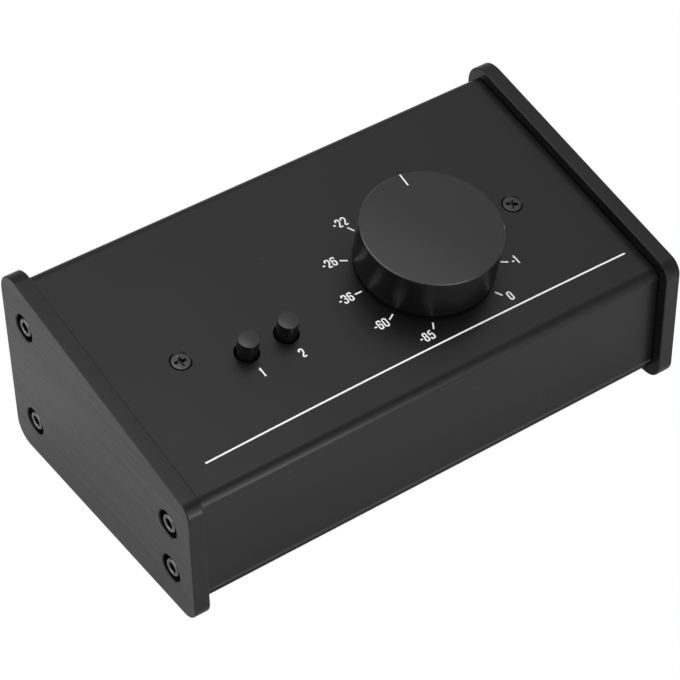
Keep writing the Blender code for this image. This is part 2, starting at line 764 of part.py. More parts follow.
def make_knob(materials, dial):
    """The dial's knob with its pointer groove, and the set screw that grips the shaft."""
    radius = KNOB_DIAMETER / 2
    bore = SHAFT_DIAMETER / 2 + SEAT_GAP
    profile = [
        (0, KNOB_TOP),
        (radius - KNOB_CHAMFER, KNOB_TOP),
        (radius, KNOB_TOP - KNOB_CHAMFER),
        (radius, KNOB_BOTTOM + KNOB_CHAMFER),
        (radius - KNOB_CHAMFER, KNOB_BOTTOM),
        (KNOB_RECESS_DIAMETER / 2, KNOB_BOTTOM),
        (KNOB_RECESS_DIAMETER / 2, KNOB_RECESS_TOP),
        (bore, KNOB_RECESS_TOP),
        (bore, SHAFT_HEIGHT + SEAT_GAP),
        (0, SHAFT_HEIGHT + SEAT_GAP),
    ]
    rest = (0, 0, KNOB_REST_ANGLE)
    knob_mesh = turned(profile, KNOB_STEPS)
    knob = add_object("knob", knob_mesh, materials["knob_black"], parent=dial, turn=rest)
    half = KNOB_POINTER_WIDTH / 2
    groove = box(
        (-half, radius - KNOB_POINTER_LENGTH, KNOB_TOP - KNOB_POINTER_DEPTH),
        (half, radius + CUT_OVERRUN, KNOB_TOP + CUT_OVERRUN),
    )
    apply_boolean(knob, add_object("pointer_groove", groove, parent=dial, turn=rest))
    outward = Matrix.Rotation(KNOB_REST_ANGLE, 3, "Z") @ Matrix.Rotation(-math.pi / 2, 3, "X")
    outward = outward.to_euler()
    place = (0, 0, SET_SCREW_HEIGHT)
    hole = SET_SCREW_DIAMETER / 2 + SEAT_GAP
    cut_hole(knob, "set_screw_hole", hole, 0, radius + CUT_OVERRUN, dial, place, outward)
    start = SHAFT_DIAMETER / 2 - SHAFT_FLAT_DEPTH + SEAT_GAP
    end = start + SET_SCREW_LENGTH
    screw = add_object(
        "knob_set_screw",
        prism(SET_SCREW_DIAMETER / 2, start, end, SMALL_ROUND_STEPS),
        materials["black_screw"],
        parent=dial,
        place=place,
        turn=outward,
    )
    socket = hexagon(SET_SCREW_KEY, end - SET_SCREW_KEY, end + CUT_OVERRUN)
    socket = add_object("set_screw_socket", socket, parent=dial, place=place, turn=outward)
    apply_boolean(screw, socket)


def make_button(materials, panel, side, across):
    """One push button: its cap and plunger, which travel, and its switch and spring."""
    centre = link(f"{side}_button_axis", None, panel, (across, BUTTON_UP, 0))
    radius = BUTTON_DIAMETER / 2
    profile = []
    for step in range(DISH_STEPS + 1):
        share = step / DISH_STEPS
        sag = BUTTON_DISH_DEPTH * (1 - share**2)
        profile.append(((radius - BUTTON_EDGE) * share, BUTTON_HEIGHT - sag))
    profile += [
        (radius, BUTTON_HEIGHT - BUTTON_EDGE),
        (radius, -BUTTON_SKIRT),
        (0, -BUTTON_SKIRT),
    ]
    cap_mesh = turned(profile, ROUND_STEPS)
    cap = add_object(f"{side}_button_cap", cap_mesh, materials["button_black"], parent=centre)
    socket = PLUNGER_WIDTH / 2 + PLUNGER_CLEARANCE
    socket_top = PLUNGER_SOCKET_DEPTH - BUTTON_SKIRT
    cutter = box((-socket, -socket, -BUTTON_SKIRT - CUT_OVERRUN), (socket, socket, socket_top))
    apply_boolean(cap, add_object(f"{side}_cap_socket", cutter, parent=centre))
    half = PLUNGER_WIDTH / 2
    switch_bottom = BOARD_TOP + SEAT_GAP
    switch_top = switch_bottom + SWITCH_HEIGHT
    plunger = box((-half, -half, switch_top - PLUNGER_INSERT), (half, half, socket_top - SEAT_GAP))
    add_object(f"{side}_plunger", plunger, materials["moulded_black"], parent=centre)
    width = SWITCH_WIDTH / 2
    switch = add_object(
        f"{side}_switch_body",
        box((-width, -width, switch_bottom), (width, width, switch_top)),
        materials["moulded_black"],
        parent=centre,
    )
    floor = switch_bottom + SWITCH_FLOOR
    well = box((-socket, -socket, floor), (socket, socket, switch_top + CUT_OVERRUN))
    apply_boolean(switch, add_object(f"{side}_switch_well", well, parent=centre))
    wire = SPRING_WIRE / 2
    low = switch_top + SEAT_GAP + wire
    high = -BUTTON_SKIRT - SEAT_GAP - wire
    make_spring(f"{side}_spring", materials["zinc"], centre, low, high)


def make_spring(name, material, parent, low, high):
    """A coil spring about local Z, as one unbroken wire."""
    curve = bpy.data.curves.new(name, "CURVE")
    curve.dimensions = "3D"
    curve.bevel_depth = SPRING_WIRE / 2
    curve.bevel_resolution = 1
    curve.use_fill_caps = True
    count = SPRING_TURNS * SPRING_POINTS_PER_TURN + 1
    spline = curve.splines.new("POLY")
    spline.points.add(count - 1)
    radius = SPRING_MEAN_DIAMETER / 2
    for index, point in enumerate(spline.points):
        share = index / (count - 1)
        angle = math.tau * SPRING_TURNS * share
        height = low + (high - low) * share
        point.co = (radius * math.cos(angle), radius * math.sin(angle), height, 1)
    curve.materials.append(material)
    link(name, curve, parent)
    path = [point.co.xyz for point in spline.points]
    half_turn = SPRING_POINTS_PER_TURN // 2
    gaps = [
        (after - before).length - SPRING_WIRE
        for index, before in enumerate(path)
        for after in path[index + half_turn :]
    ]
    print(f"{name}: least gap to itself {min(gaps) / MM:.2f} mm")


def make_jacks(materials):
    """Four jacks through the rear wall, each with its washer and nut, on one board.

    The board ends at a set distance behind the shell's front, clear of the ribbon's drop.
    """
    height = PLATE_LIFT + JACK_HEIGHT
    to_rear = (-math.pi / 2, 0, 0)
    body_front = -SHELL_WALL - SEAT_GAP
    body_back = body_front - JACK_BODY_DEPTH
    wide, tall = JACK_BODY_WIDTH / 2, JACK_BODY_HEIGHT / 2
    barrel = JACK_BARREL_DIAMETER / 2
    washer_top = SEAT_GAP + JACK_WASHER_THICKNESS
    nut_bottom = washer_top + SEAT_GAP
    nut_top = nut_bottom + JACK_NUT_THICKNESS
    hole = barrel + SEAT_GAP
    for name, x in jack_places().items():
        place = (x, SHELL_REAR_Y, height)
        where = {"place": place, "turn": to_rear}
        jack = add_object(
            f"{name}_jack",
            box((-wide, -tall, body_back), (wide, tall, body_front)),
            materials["moulded_black"],
            **where,
        )
        nose = prism(barrel, body_front - SHELL_WALL, JACK_BARREL_REACH, ROUND_STEPS)
        apply_boolean(jack, add_object(f"{name}_barrel", nose, **where), "UNION")
        deep = JACK_BARREL_REACH - JACK_BORE_DEPTH
        tip = JACK_BARREL_REACH + CUT_OVERRUN
        cut_hole(jack, f"{name}_bore", JACK_BORE_DIAMETER / 2, deep, tip, **where)
        ring = [
            (hole, SEAT_GAP),
            (JACK_WASHER_DIAMETER / 2, SEAT_GAP),
            (JACK_WASHER_DIAMETER / 2, washer_top),
            (hole, washer_top),
        ]
        washer = turned(ring, ROUND_STEPS, closed=True)
        add_object(f"{name}_washer", washer, materials["zinc"], **where)
        nut = add_object(
            f"{name}_nut",
            hexagon(JACK_NUT_ACROSS_FLATS, nut_bottom, nut_top),
            materials["zinc"],
            **where,
        )
        low, high = nut_bottom - CUT_OVERRUN, nut_top + CUT_OVERRUN
        cut_hole(nut, f"{name}_nut_bore", hole, low, high, **where)
    top = height - tall - SEAT_GAP
    rear = SHELL_REAR_Y + body_front
    half = JACK_BOARD_LENGTH / 2
    corner = Vector((-half, SHELL_FRONT_Y + JACK_BOARD_INSET, top - BOARD_THICKNESS))
    add_object("jack_board", box(corner, (half, rear, top)), materials["board"])
    return corner


def make_ribbon(materials, panel, board_corner):
    """The ribbon cable from the control board's connector to the jack board's.

    The jack board's lower front left corner says where its connector hangs.
    """
    half = HEADER_LENGTH / 2
    wide = HEADER_WIDTH / 2
    top = BOARD_BOTTOM - SEAT_GAP
    upper = box(
        (HEADER_ACROSS - half, CONTROL_HEADER_UP - wide, top - HEADER_HEIGHT),
        (HEADER_ACROSS + half, CONTROL_HEADER_UP + wide, top),
    )
    add_object("control_connector", upper, materials["moulded_black"], parent=panel)
    front, bottom = board_corner.yz
    low = (HEADER_ACROSS - half, front, bottom - SEAT_GAP - HEADER_HEIGHT)
    high = (HEADER_ACROSS + half, front + HEADER_WIDTH, bottom - SEAT_GAP)
    add_object("jack_connector", box(low, high), materials["moulded_black"])
    frame = Matrix.Translation((0, PLATE_FRONT_Y, PANEL_FRONT_Z)) @ Matrix.Rotation(SLOPE, 4, "X")
    start = frame @ Vector((0, CONTROL_HEADER_UP, top - HEADER_HEIGHT - SEAT_GAP))
    down = frame.to_3x3() @ Vector((0, 0, -1))
    end = Vector((front - SEAT_GAP, bottom - SEAT_GAP - HEADER_HEIGHT / 2))
    path = ribbon_path(start.yz, down.yz, end, Vector((-1, 0)))
    outline = thickened(path, RIBBON_THICKNESS)
    left = HEADER_ACROSS - RIBBON_WIDTH / 2
    ribbon = extruded(outline, left, left + RIBBON_WIDTH)
    add_object("ribbon_cable", ribbon, materials["ribbon"])


def ribbon_path(start, from_start, end, from_end):
    """Middle line of the ribbon in (y, z), which leaves both connectors straight and hangs slack."""
    first = start + from_start * RIBBON_LEAD
    last = end + from_end * RIBBON_LEAD
    first_handle = first + from_start * RIBBON_SLACK
    last_handle = last + from_end * RIBBON_SLACK
    sag = interpolate_bezier(first, first_handle, last_handle, last, RIBBON_STEPS)
    return [start, *sag, end]


def thickened(path, thickness):
    """Outline of a strip of even thickness along a path."""
    sides = ([], [])
    for index, point in enumerate(path):
        before = path[max(index - 1, 0)]
        after = path[min(index + 1, len(path) - 1)]
        along = (after - before).normalized()
        across = Vector((-along.y, along.x)) * (thickness / 2)
        sides[0].append(point + across)
        sides[1].append(point - across)
    return sides[0] + sides[1][::-1]


def main():
    """Builds the whole controller."""
    clear_scene()
    materials = make_materials()
    place = (0, PLATE_FRONT_Y, PANEL_FRONT_Z)
    panel = link("panel_frame", None, place=place, turn=(SLOPE, 0, 0))
    dial = link("dial_axis", None, panel, (DIAL_ACROSS, DIAL_UP, 0))
    make_shell(materials, panel)
    make_plates(materials)
    make_bottom(materials)
    make_control_board(materials, panel)
    make_level_control(materials, dial)
    make_knob(materials, dial)
    for side, across in zip(("left", "right"), BUTTON_ACROSS):
        make_button(materials, panel, side, across)
    board_corner = make_jacks(materials)
    make_ribbon(materials, panel, board_corner)


main()
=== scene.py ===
"""Looks of a desktop monitor controller: a satin black wedge case between two brushed end plates.

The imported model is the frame. What shows is modelled again here with finer edges, holes and
screw recesses, at the same sizes and places, and every other node gets its finish.
"""

from __future__ import annotations

import json
import logging
import math
from dataclasses import dataclass, field
from enum import Enum
from typing import Iterable, Mapping, Sequence

import bmesh
import bpy
from mathutils import Euler, Matrix, Vector


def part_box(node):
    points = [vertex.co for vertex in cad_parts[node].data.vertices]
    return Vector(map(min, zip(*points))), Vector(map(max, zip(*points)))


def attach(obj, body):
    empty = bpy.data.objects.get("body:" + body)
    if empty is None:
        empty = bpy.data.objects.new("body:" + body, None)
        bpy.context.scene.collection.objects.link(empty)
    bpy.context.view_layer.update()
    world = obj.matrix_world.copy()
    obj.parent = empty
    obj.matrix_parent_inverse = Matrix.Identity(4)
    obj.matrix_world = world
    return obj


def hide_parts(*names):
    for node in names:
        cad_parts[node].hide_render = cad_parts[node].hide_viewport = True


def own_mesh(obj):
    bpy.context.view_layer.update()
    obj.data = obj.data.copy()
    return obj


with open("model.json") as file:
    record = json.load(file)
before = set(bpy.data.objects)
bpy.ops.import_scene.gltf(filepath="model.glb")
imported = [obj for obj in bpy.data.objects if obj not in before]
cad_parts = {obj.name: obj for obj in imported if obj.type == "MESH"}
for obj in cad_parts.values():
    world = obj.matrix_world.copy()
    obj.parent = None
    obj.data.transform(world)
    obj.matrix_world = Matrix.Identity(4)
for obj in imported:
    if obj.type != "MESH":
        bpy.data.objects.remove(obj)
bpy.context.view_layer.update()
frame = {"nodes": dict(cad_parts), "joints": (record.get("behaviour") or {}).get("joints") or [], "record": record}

log = logging.getLogger("monitor_controller")

MM = 0.001
OVERRUN = 1.0 * MM
MERGE_DISTANCE = 0.0001 * MM
SHARP_ANGLE = math.radians(32.0)
RIGHT_ANGLE = math.pi / 2
MIDDLE_TONES = (0.3, 0.7)
SHARP_TONES = (0.35, 0.65)
Point = Sequence[float]


class Body(str, Enum):
    """The moving bodies of the model."""

    CASE = "case"
    DIAL = "dial"
    LEFT_BUTTON = "left_button"
    RIGHT_BUTTON = "right_button"


class Slot(str, Enum):
    """The record's material slots."""

    CASE_BLACK = "case_black"
    PLATE_BLACK = "plate_black"
    KNOB_BLACK = "knob_black"
    BUTTON_BLACK = "button_black"
    BLACK_SCREW = "black_screw"
    ZINC = "zinc"
    BRASS = "brass"
    RUBBER = "rubber"
    BOARD = "board"
    MOULDED_BLACK = "moulded_black"
    RIBBON = "ribbon"
    WHITE_PRINT = "white_print"


class Side(str, Enum):
    """The two ends of the case."""

    LEFT = "left"
    RIGHT = "right"

    @property
    def sign(self) -> int:
        """-1 on the left and 1 on the right."""
        return -1 if self is Side.LEFT else 1


class Value:
    """A shader socket that Python's operators add Math nodes to."""

    def __init__(self, shader: Shader, socket: bpy.types.NodeSocket) -> None:
        """Wraps a socket of a shader's node."""
        self.shader = shader
        self.socket = socket

    def math(self, operation: str, *values: object) -> Value:
        """Adds one Math node and returns its result."""
        inputs = dict(enumerate(values))
        node = self.shader.node("ShaderNodeMath", {"operation": operation}, inputs)
        return Value(self.shader, node.outputs[0])

    def __add__(self, other: object) -> Value:
        """The sum of the two."""
        return self.math("ADD", self, other)

    def __sub__(self, other: object) -> Value:
        """This value less the other."""
        return self.math("SUBTRACT", self, other)

    def __rsub__(self, other: object) -> Value:
        """The other less this value."""
        return self.math("SUBTRACT", other, self)

    def __mul__(self, other: object) -> Value:
        """The product of the two."""
        return self.math("MULTIPLY", self, other)

    __radd__ = __add__
    __rmul__ = __mul__

    def __pow__(self, other: object) -> Value:
        """This value to a power."""
        return self.math("POWER", self, other)

    def hypot(self, other: Value) -> Value:
        """Length of the vector that the two values make."""
        return (self * self + other * other) ** 0.5

    def ramp(self, low: float, high: float, to_low: float, to_high: float) -> Value:
        """Maps a range of this value smoothly onto another.

        Args:
            low: Where the range starts.
            high: Where it ends.
            to_low: What the start becomes.
            to_high: What the end becomes.

        Returns:
            The mapped value, held at the range's ends.
        """
        inputs = {0: self, 1: low, 2: high, 3: to_low, 4: to_high}
        node = self.shader.node("ShaderNodeMapRange", {"interpolation_type": "SMOOTHSTEP"}, inputs)
        return Value(self.shader, node.outputs[0])


class Shader:
    """A node tree and the nodes that feed its surface."""

    def __init__(self, owner: bpy.types.Material | bpy.types.World) -> None:
        """Opens the node tree of a material or a world."""
        owner.use_nodes = True
        self.tree = owner.node_tree
        self.surface = self.tree.nodes.get("Principled BSDF")

    def node(
        self, kind: str, settings: Mapping[str, object], inputs: Mapping[object, object]
    ) -> bpy.types.Node:
        """Adds a node.

        Args:
            kind: The node's type.
            settings: Its properties, with a ramp's stops under "stops".
            inputs: Its sockets' values or links, by name or number.

        Returns:
            The node.
        """
        node = self.tree.nodes.new(kind)
        for name, value in settings.items():
            if name != "stops":
                setattr(node, name, value)
                continue
            while len(node.color_ramp.elements) < len(value):
                node.color_ramp.elements.new(1.0)
            for element, (place, colour) in zip(node.color_ramp.elements, value):
                element.position = place
                element.color = (*colour, 1.0)
        for name, value in inputs.items():
            self.feed(node.inputs[name], value)
        return node

    def feed(self, socket: bpy.types.NodeSocket, value: object) -> None:
        """Links a value to a socket, or sets the socket to a number or a colour."""
        if isinstance(value, Value):
            value = value.socket
        if isinstance(value, bpy.types.NodeSocket):
            self.tree.links.new(value, socket)
        else:
            socket.default_value = value

    def set(self, **values: object) -> None:
        """Feeds the surface's sockets, named with underscores."""
        for name, value in values.items():
            self.feed(self.surface.inputs[name.replace("_", " ").title().replace("Ior", "IOR")], value)

    def place(
        self,
        origin: Sequence[float] = (0.0, 0.0, 0.0),
        turn: Sequence[float] = (0.0, 0.0, 0.0),
        scale: Sequence[float] = (1.0, 1.0, 1.0),
    ) -> bpy.types.NodeSocket:
        """Object coordinates seen from a place on the object.

        Args:
            origin: The point that becomes zero.
            turn: How the pattern's axes are turned on the object.
            scale: How the pattern is stretched along its own axes.

        Returns:
            The mapped coordinates.
        """
        where = self.node("ShaderNodeTexCoord", {}, {}).outputs["Object"]
        moved = {"Vector": where, "Location": origin, "Rotation": turn}
        local = self.node("ShaderNodeMapping", {"vector_type": "TEXTURE"}, moved).outputs[0]
        grown = {"Vector": local, "Scale": scale}
        return self.node("ShaderNodeMapping", {"vector_type": "POINT"}, grown).outputs[0]

    def noise(self, where: bpy.types.NodeSocket, scale: float, detail: float = 2.0) -> Value:
        """Soft noise from 0 to 1 over mapped coordinates."""
        inputs = {"Vector": where, "Scale": scale, "Detail": detail}
        return Value(self, self.node("ShaderNodeTexNoise", {}, inputs).outputs["Fac"])

    def seen(self, by_camera: float, by_mirror: float) -> Value:
        """How far a backdrop shows as plain white.

        Args:
            by_camera: Its share for what the camera sees.
            by_mirror: Its share for what gloss and glass show.

        Returns:
            The share.
        """
        rays = self.node("ShaderNodeLightPath", {}, {}).outputs
        mirrored = Value(self, rays["Is Glossy Ray"]) + Value(self, rays["Is Transmission Ray"])
        return Value(self, rays["Is Camera Ray"]) * by_camera + mirrored * by_mirror

    def parts(self, where: bpy.types.NodeSocket) -> tuple[Value, Value, Value]:
        """The three coordinates of a vector."""
        outputs = self.node("ShaderNodeSeparateXYZ", {}, {0: where}).outputs
        return Value(self, outputs[0]), Value(self, outputs[1]), Value(self, outputs[2])

    def mix(self, share: Value, first: object, second: object) -> bpy.types.NodeSocket:
        """A colour between two colours or sockets, by a share from 0 to 1."""
        inputs = {"Factor": share, 6: first, 7: second}
        for place, end in ((6, first), (7, second)):
            if not isinstance(end, bpy.types.NodeSocket):
                inputs[place] = (*end, 1.0)
        return self.node("ShaderNodeMix", {"data_type": "RGBA"}, inputs).outputs[2]

    def bump(self, height: Value, depth: float) -> None:
        """Feeds the surface's normal from a height of a given depth."""
        inputs = {"Height": height, "Distance": depth, "Strength": 1.0}
        self.set(normal=self.node("ShaderNodeBump", {}, inputs).outputs[0])


@dataclass(frozen=True)
class Finish:
    """What every finish has: a name, a colour and a roughness."""

    name: str
    colour: tuple[float, float, float]
    roughness: float

    def make(self) -> bpy.types.Material:
        """Builds the material."""
        material = bpy.data.materials.new(self.name)
        self.paint(Shader(material))
        return material

    def paint(self, shader: Shader) -> None:
        """Adds the finish's own nodes.

        Args:
            shader: The node tree that they go into.
        """
        raise NotImplementedError

    def shades(self, spread: float) -> list[list[float]]:
        """The colour made darker and lighter by a share."""
        return [[channel * way for channel in self.colour] for way in (1 - spread, 1 + spread)]


@dataclass(frozen=True)
class Grain(Finish):
    """A fine even grain with faint cloudiness, and where asked specks of dust, painted shade and a painted
    highlight line.

    Under a given height a coat turns dark as painted shade, and a thin light line runs over it as a painted
    highlight.
    """

    metallic: float = 0.0
    ior: float = 1.5
    grain_size: float = 0.25 * MM
    grain_depth: float = 0.004 * MM
    grain_share: float = 0.4
    cloud_size: float = 18.0 * MM
    unevenness: float = 0.12
    gloss_spread: float = 0.08
    dust_spacing: float = 0.0
    dust_size: float = 0.17 * MM
    dust_colour: tuple[float, float, float] = (0.22, 0.22, 0.22)
    painted_shade_top: float = 0.0
    painted_blend: float = 0.2 * MM
    painted_highlight_width: float = 0.9 * MM
    painted_highlight_colour: tuple[float, float, float] = (0.032, 0.032, 0.032)

    def paint(self, shader: Shader) -> None:
        """Adds the finish's own nodes.

        Args:
            shader: The node tree that they go into.
        """
        where = shader.place()
        clouds = shader.noise(where, 1 / self.cloud_size)
        grain = shader.noise(where, 1 / self.grain_size)
        tone = clouds * (1 - self.grain_share) + grain * self.grain_share
        spread = self.roughness * self.gloss_spread
        roughness = tone.ramp(*MIDDLE_TONES, self.roughness - spread, self.roughness + spread)
        colour, metallic = shader.mix(tone, *self.shades(self.unevenness)), self.metallic
        if self.dust_spacing:
            cells = {"Vector": where, "Scale": 1 / self.dust_spacing}
            nearest = Value(shader, shader.node("ShaderNodeTexVoronoi", {}, cells).outputs["Distance"])
            specks = nearest.ramp(0.0, self.dust_size / self.dust_spacing, 1.0, 0.0)
            colour = shader.mix(specks, colour, self.dust_colour)
        # Painted shade: under this height the coat turns metallic with its dark colour, so it renders dark; just
        # over it a thin lighter line is a painted highlight.
        if self.painted_shade_top:
            height = shader.parts(where)[2]
            metallic = height.ramp(self.painted_shade_top - self.painted_blend, self.painted_shade_top, 1.0, 0.0)
            above = height.ramp(self.painted_shade_top, self.painted_shade_top + self.painted_blend, 0.0, 1.0)
            end = self.painted_shade_top + self.painted_highlight_width
            line = above * height.ramp(end, end + self.painted_blend, 1.0, 0.0)
            colour = shader.mix(line, colour, self.painted_highlight_colour)
        shader.set(base_color=colour, roughness=roughness, metallic=metallic, ior=self.ior)
        shader.bump(grain, self.grain_depth)


@dataclass(frozen=True)
class Brushed(Finish):
    """A metal finish with long fine scratches along Y on the faces that look along X."""

    ior: float = 1.37
    scratch_width: float = 0.22 * MM
    scratch_length: float = 45.0 * MM
    scratch_depth: float = 0.004 * MM
    broad_scale: float = 0.18
    broad_share: float = 0.35
    contrast: float = 0.35
    gloss_spread: float = 0.2
    flatness: float = 0.8

    def paint(self, shader: Shader) -> None:
        """Adds the finish's own nodes.

        Args:
            shader: The node tree that they go into.
        """
        fine, long = 1 / self.scratch_width, 1 / self.scratch_length
        stretch = Vector((fine, long, fine))
        streaks = shader.noise(shader.place(scale=stretch), 1.0, 4.0)
        broad = shader.noise(shader.place(scale=stretch * self.broad_scale), 1.0)
        tone = streaks * (1 - self.broad_share) + broad * self.broad_share
        facing = shader.parts(shader.node("ShaderNodeNewGeometry", {}, {}).outputs["Normal"])[0]
        face = facing.math("ABSOLUTE", facing).ramp(self.flatness, 1.0, 0.0, 1.0)
        sharp = (tone.ramp(*SHARP_TONES, 0.0, 1.0) - 0.5) * face + 0.5
        spread = self.roughness * self.gloss_spread
        shader.set(
            base_color=shader.mix(sharp, *self.shades(self.contrast)),
            roughness=sharp.ramp(0.0, 1.0, self.roughness - spread, self.roughness + spread),
            ior=self.ior,
        )
        shader.bump(tone * face, self.scratch_depth)


@dataclass(frozen=True)
class Turned(Finish):
    """A lathe-turned metal finish: fine rings about one axis, a soft grain, a painted sheen across the top and a
    painted highlight along its rim.
    """

    origin: Vector
    turn: Euler
    ior: float = 1.5
    reach: float = 20.25 * MM
    height: float = 14.95 * MM
    rim: float = 0.45 * MM
    top_painted_sheen: float = 0.016
    rim_painted_highlight: float = 0.016
    painted_sheen_slant: float = 0.4
    painted_sheen_end: float = 0.25
    clouding: float = 0.15
    cloud_size: float = 9.0 * MM
    side_roughness: float = 0.34
    gloss_spread: float = 0.04
    ring_width: float = 0.16 * MM
    ring_depth: float = 0.0015 * MM
    grain_size: float = 0.3 * MM
    grain_share: float = 0.3

    def paint(self, shader: Shader) -> None:
        """Adds the finish's own nodes.

        Args:
            shader: The node tree that they go into.
        """
        where = shader.place(self.origin, self.turn)
        x, y, z = shader.parts(where)
        radius = x.hypot(y)
        rings = shader.node("ShaderNodeCombineXYZ", {}, {"X": radius, "Y": z}).outputs[0]
        turned = shader.noise(rings, 1 / self.ring_width, 1.0)
        grain = shader.noise(where, 1 / self.grain_size)
        clouds = shader.noise(where, 1 / self.cloud_size)
        # Masks for the painted light: the top face and the outer rim of that top.
        top = z.ramp(self.height - self.rim, self.height - self.rim / 2, 0.0, 1.0)
        edge = radius.ramp(self.reach - self.rim, self.reach - self.rim / 2, 0.0, 1.0)
        # Painted sheen: towards the front left of the top, the base colour is whitened as if more light fell
        # there.
        slant = x + y * self.painted_sheen_slant
        painted_sheen = slant.ramp(-self.reach, self.reach * self.painted_sheen_end, self.top_painted_sheen, 0.0)
        mottled = (grain + clouds) * self.clouding + (1 - self.clouding)
        # Painted sheen on the top plus a painted highlight along its rim, mixed into the base colour towards
        # white.
        painted_sheen_and_highlight = top * (painted_sheen + edge * self.rim_painted_highlight) * mottled
        gloss = top * (self.roughness - self.side_roughness) + self.side_roughness
        shader.set(
            base_color=shader.mix(painted_sheen_and_highlight, self.colour, (1.0, 1.0, 1.0)),
            roughness=clouds * self.gloss_spread + gloss,
            ior=self.ior,
        )
        shader.bump(turned * (1 - self.grain_share) + grain * self.grain_share, self.ring_depth)


@dataclass(frozen=True)
class Ribbed(Finish):
    """The grey jacket of a flat cable, with a furrow between each pair of wires, darkened as painted shade."""

    pitch: float = 1.27 * MM
    furrow_depth: float = 0.25 * MM
    furrow_painted_shade: float = 0.6

    def paint(self, shader: Shader) -> None:
        """Adds the finish's own nodes.

        Args:
            shader: The node tree that they go into.
        """
        inputs = {"Vector": shader.place(), "Scale": 1 / self.pitch / 2}
        settings = {"wave_type": "BANDS", "bands_direction": "X"}
        wires = Value(shader, shader.node("ShaderNodeTexWave", settings, inputs).outputs["Fac"])
        # Painted shade: the colour darkens in each furrow.
        low = [channel * self.furrow_painted_shade for channel in self.colour]
        shader.set(base_color=shader.mix(wires, low, self.colour), roughness=self.roughness)
        shader.bump(wires, self.furrow_depth)


class Finishes:
    """Every finish of the object, made once and looked up by its slot."""

    def __init__(self, panel: Panel) -> None:
        """Makes every finish.

        Args:
            panel: The panel whose axes the knob's rings follow.
        """
        # The knob's finish also paints a sheen on its top and a highlight along its rim.
        knob = Turned("turned_black_anodised", (0.0012, 0.0012, 0.0013), 0.28, panel.origin, panel.turn)
        steel = {"metallic": 1.0, "grain_depth": 0.001 * MM}
        ink = {"grain_depth": 0.001 * MM, "unevenness": 0.03}
        # The case's coat gets painted shade under 7.5 mm and a painted highlight line just over it.
        case = {"ior": 1.395, "dust_spacing": 7.0 * MM, "painted_shade_top": 7.5 * MM}
        button = {"grain_depth": 0.0003 * MM}
        made = {
            Slot.CASE_BLACK: Grain("satin_black_coat", (0.003, 0.003, 0.0031), 0.36, **case),
            Slot.PLATE_BLACK: Brushed("brushed_black_anodised", (0.0035, 0.0035, 0.0036), 0.33),
            Slot.KNOB_BLACK: knob,
            Slot.BUTTON_BLACK: Grain("gloss_black_plastic", (0.004, 0.004, 0.0042), 0.26, **button),
            Slot.BLACK_SCREW: Grain("black_oxide_steel", (0.11, 0.11, 0.113), 0.25, **steel),
            Slot.ZINC: Grain("nickel_plate", (0.55, 0.55, 0.56), 0.24, **steel),
            Slot.BRASS: Grain("turned_brass", (0.60, 0.45, 0.20), 0.30, metallic=1.0),
            Slot.RUBBER: Grain("foot_rubber", (0.018, 0.018, 0.018), 0.75, grain_depth=0.02 * MM),
            Slot.BOARD: Grain("board_laminate", (0.02, 0.12, 0.05), 0.40, grain_depth=0.01 * MM),
            Slot.MOULDED_BLACK: Grain("moulded_plastic", (0.012, 0.012, 0.0125), 0.42),
            Slot.RIBBON: Ribbed("ribbon_jacket", (0.35, 0.36, 0.38), 0.45),
            Slot.WHITE_PRINT: Grain("white_ink", (0.94, 0.94, 0.94), 0.5, **ink),
        }
        self.materials = {slot: finish.make() for slot, finish in made.items()}
        dull = Grain("dull_black_steel", (0.062, 0.062, 0.064), 0.30, 1.0, grain_depth=0.002 * MM)
        self.dull_steel = dull.make()

    def __getitem__(self, slot: Slot) -> bpy.types.Material:
        """The material of a slot."""
        return self.materials[slot]

    def dress_nodes(self) -> None:
        """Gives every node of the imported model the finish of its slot."""
        for entry in frame["record"]["subparts"]:
            node = frame["nodes"][entry["node"]]
            node.data.materials.clear()
            node.data.materials.append(self[Slot(entry["material_slot"])])


def centre_of(node: str) -> Vector:
    """The middle of a node's box."""
    low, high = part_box(node)
    return (low + high) / 2


def placing(place: Sequence[float], angle: float = 0.0, axis: str = "Z") -> Matrix:
    """A turn about one axis, and then a move to a place."""
    return Matrix.Translation(place) @ Matrix.Rotation(angle, 4, axis)


def in_scene(name: str, data: bpy.types.ID) -> bpy.types.Object:
    """A new object of some data, put into the scene."""
    obj = bpy.data.objects.new(name, data)
    bpy.context.scene.collection.objects.link(obj)
    return obj


def rounded(start: Vector, corner: Vector, end: Vector, steps: int) -> list[Vector]:
    """Points of a curve that leaves one line and meets the next smoothly at their corner."""
    shares = [step / steps for step in range(steps + 1)]
    return [start * (1 - s) ** 2 + corner * 2 * s * (1 - s) + end * s**2 for s in shares]


def eased(corner: Point, before: Point, after: Point, size: float, steps: int = 3) -> list[Vector]:
    """Rounds one corner of a turned profile.

    Args:
        corner: The sharp corner.
        before: The profile's point before it.
        after: The profile's point after it.
        size: How far from the corner the rounding starts.
        steps: How many facets it has.

    Returns:
        The curve's points.
    """
    peak = Vector(corner)
    start = peak + (Vector(before) - peak).normalized() * size
    end = peak + (Vector(after) - peak).normalized() * size
    return rounded(start, peak, end, steps)


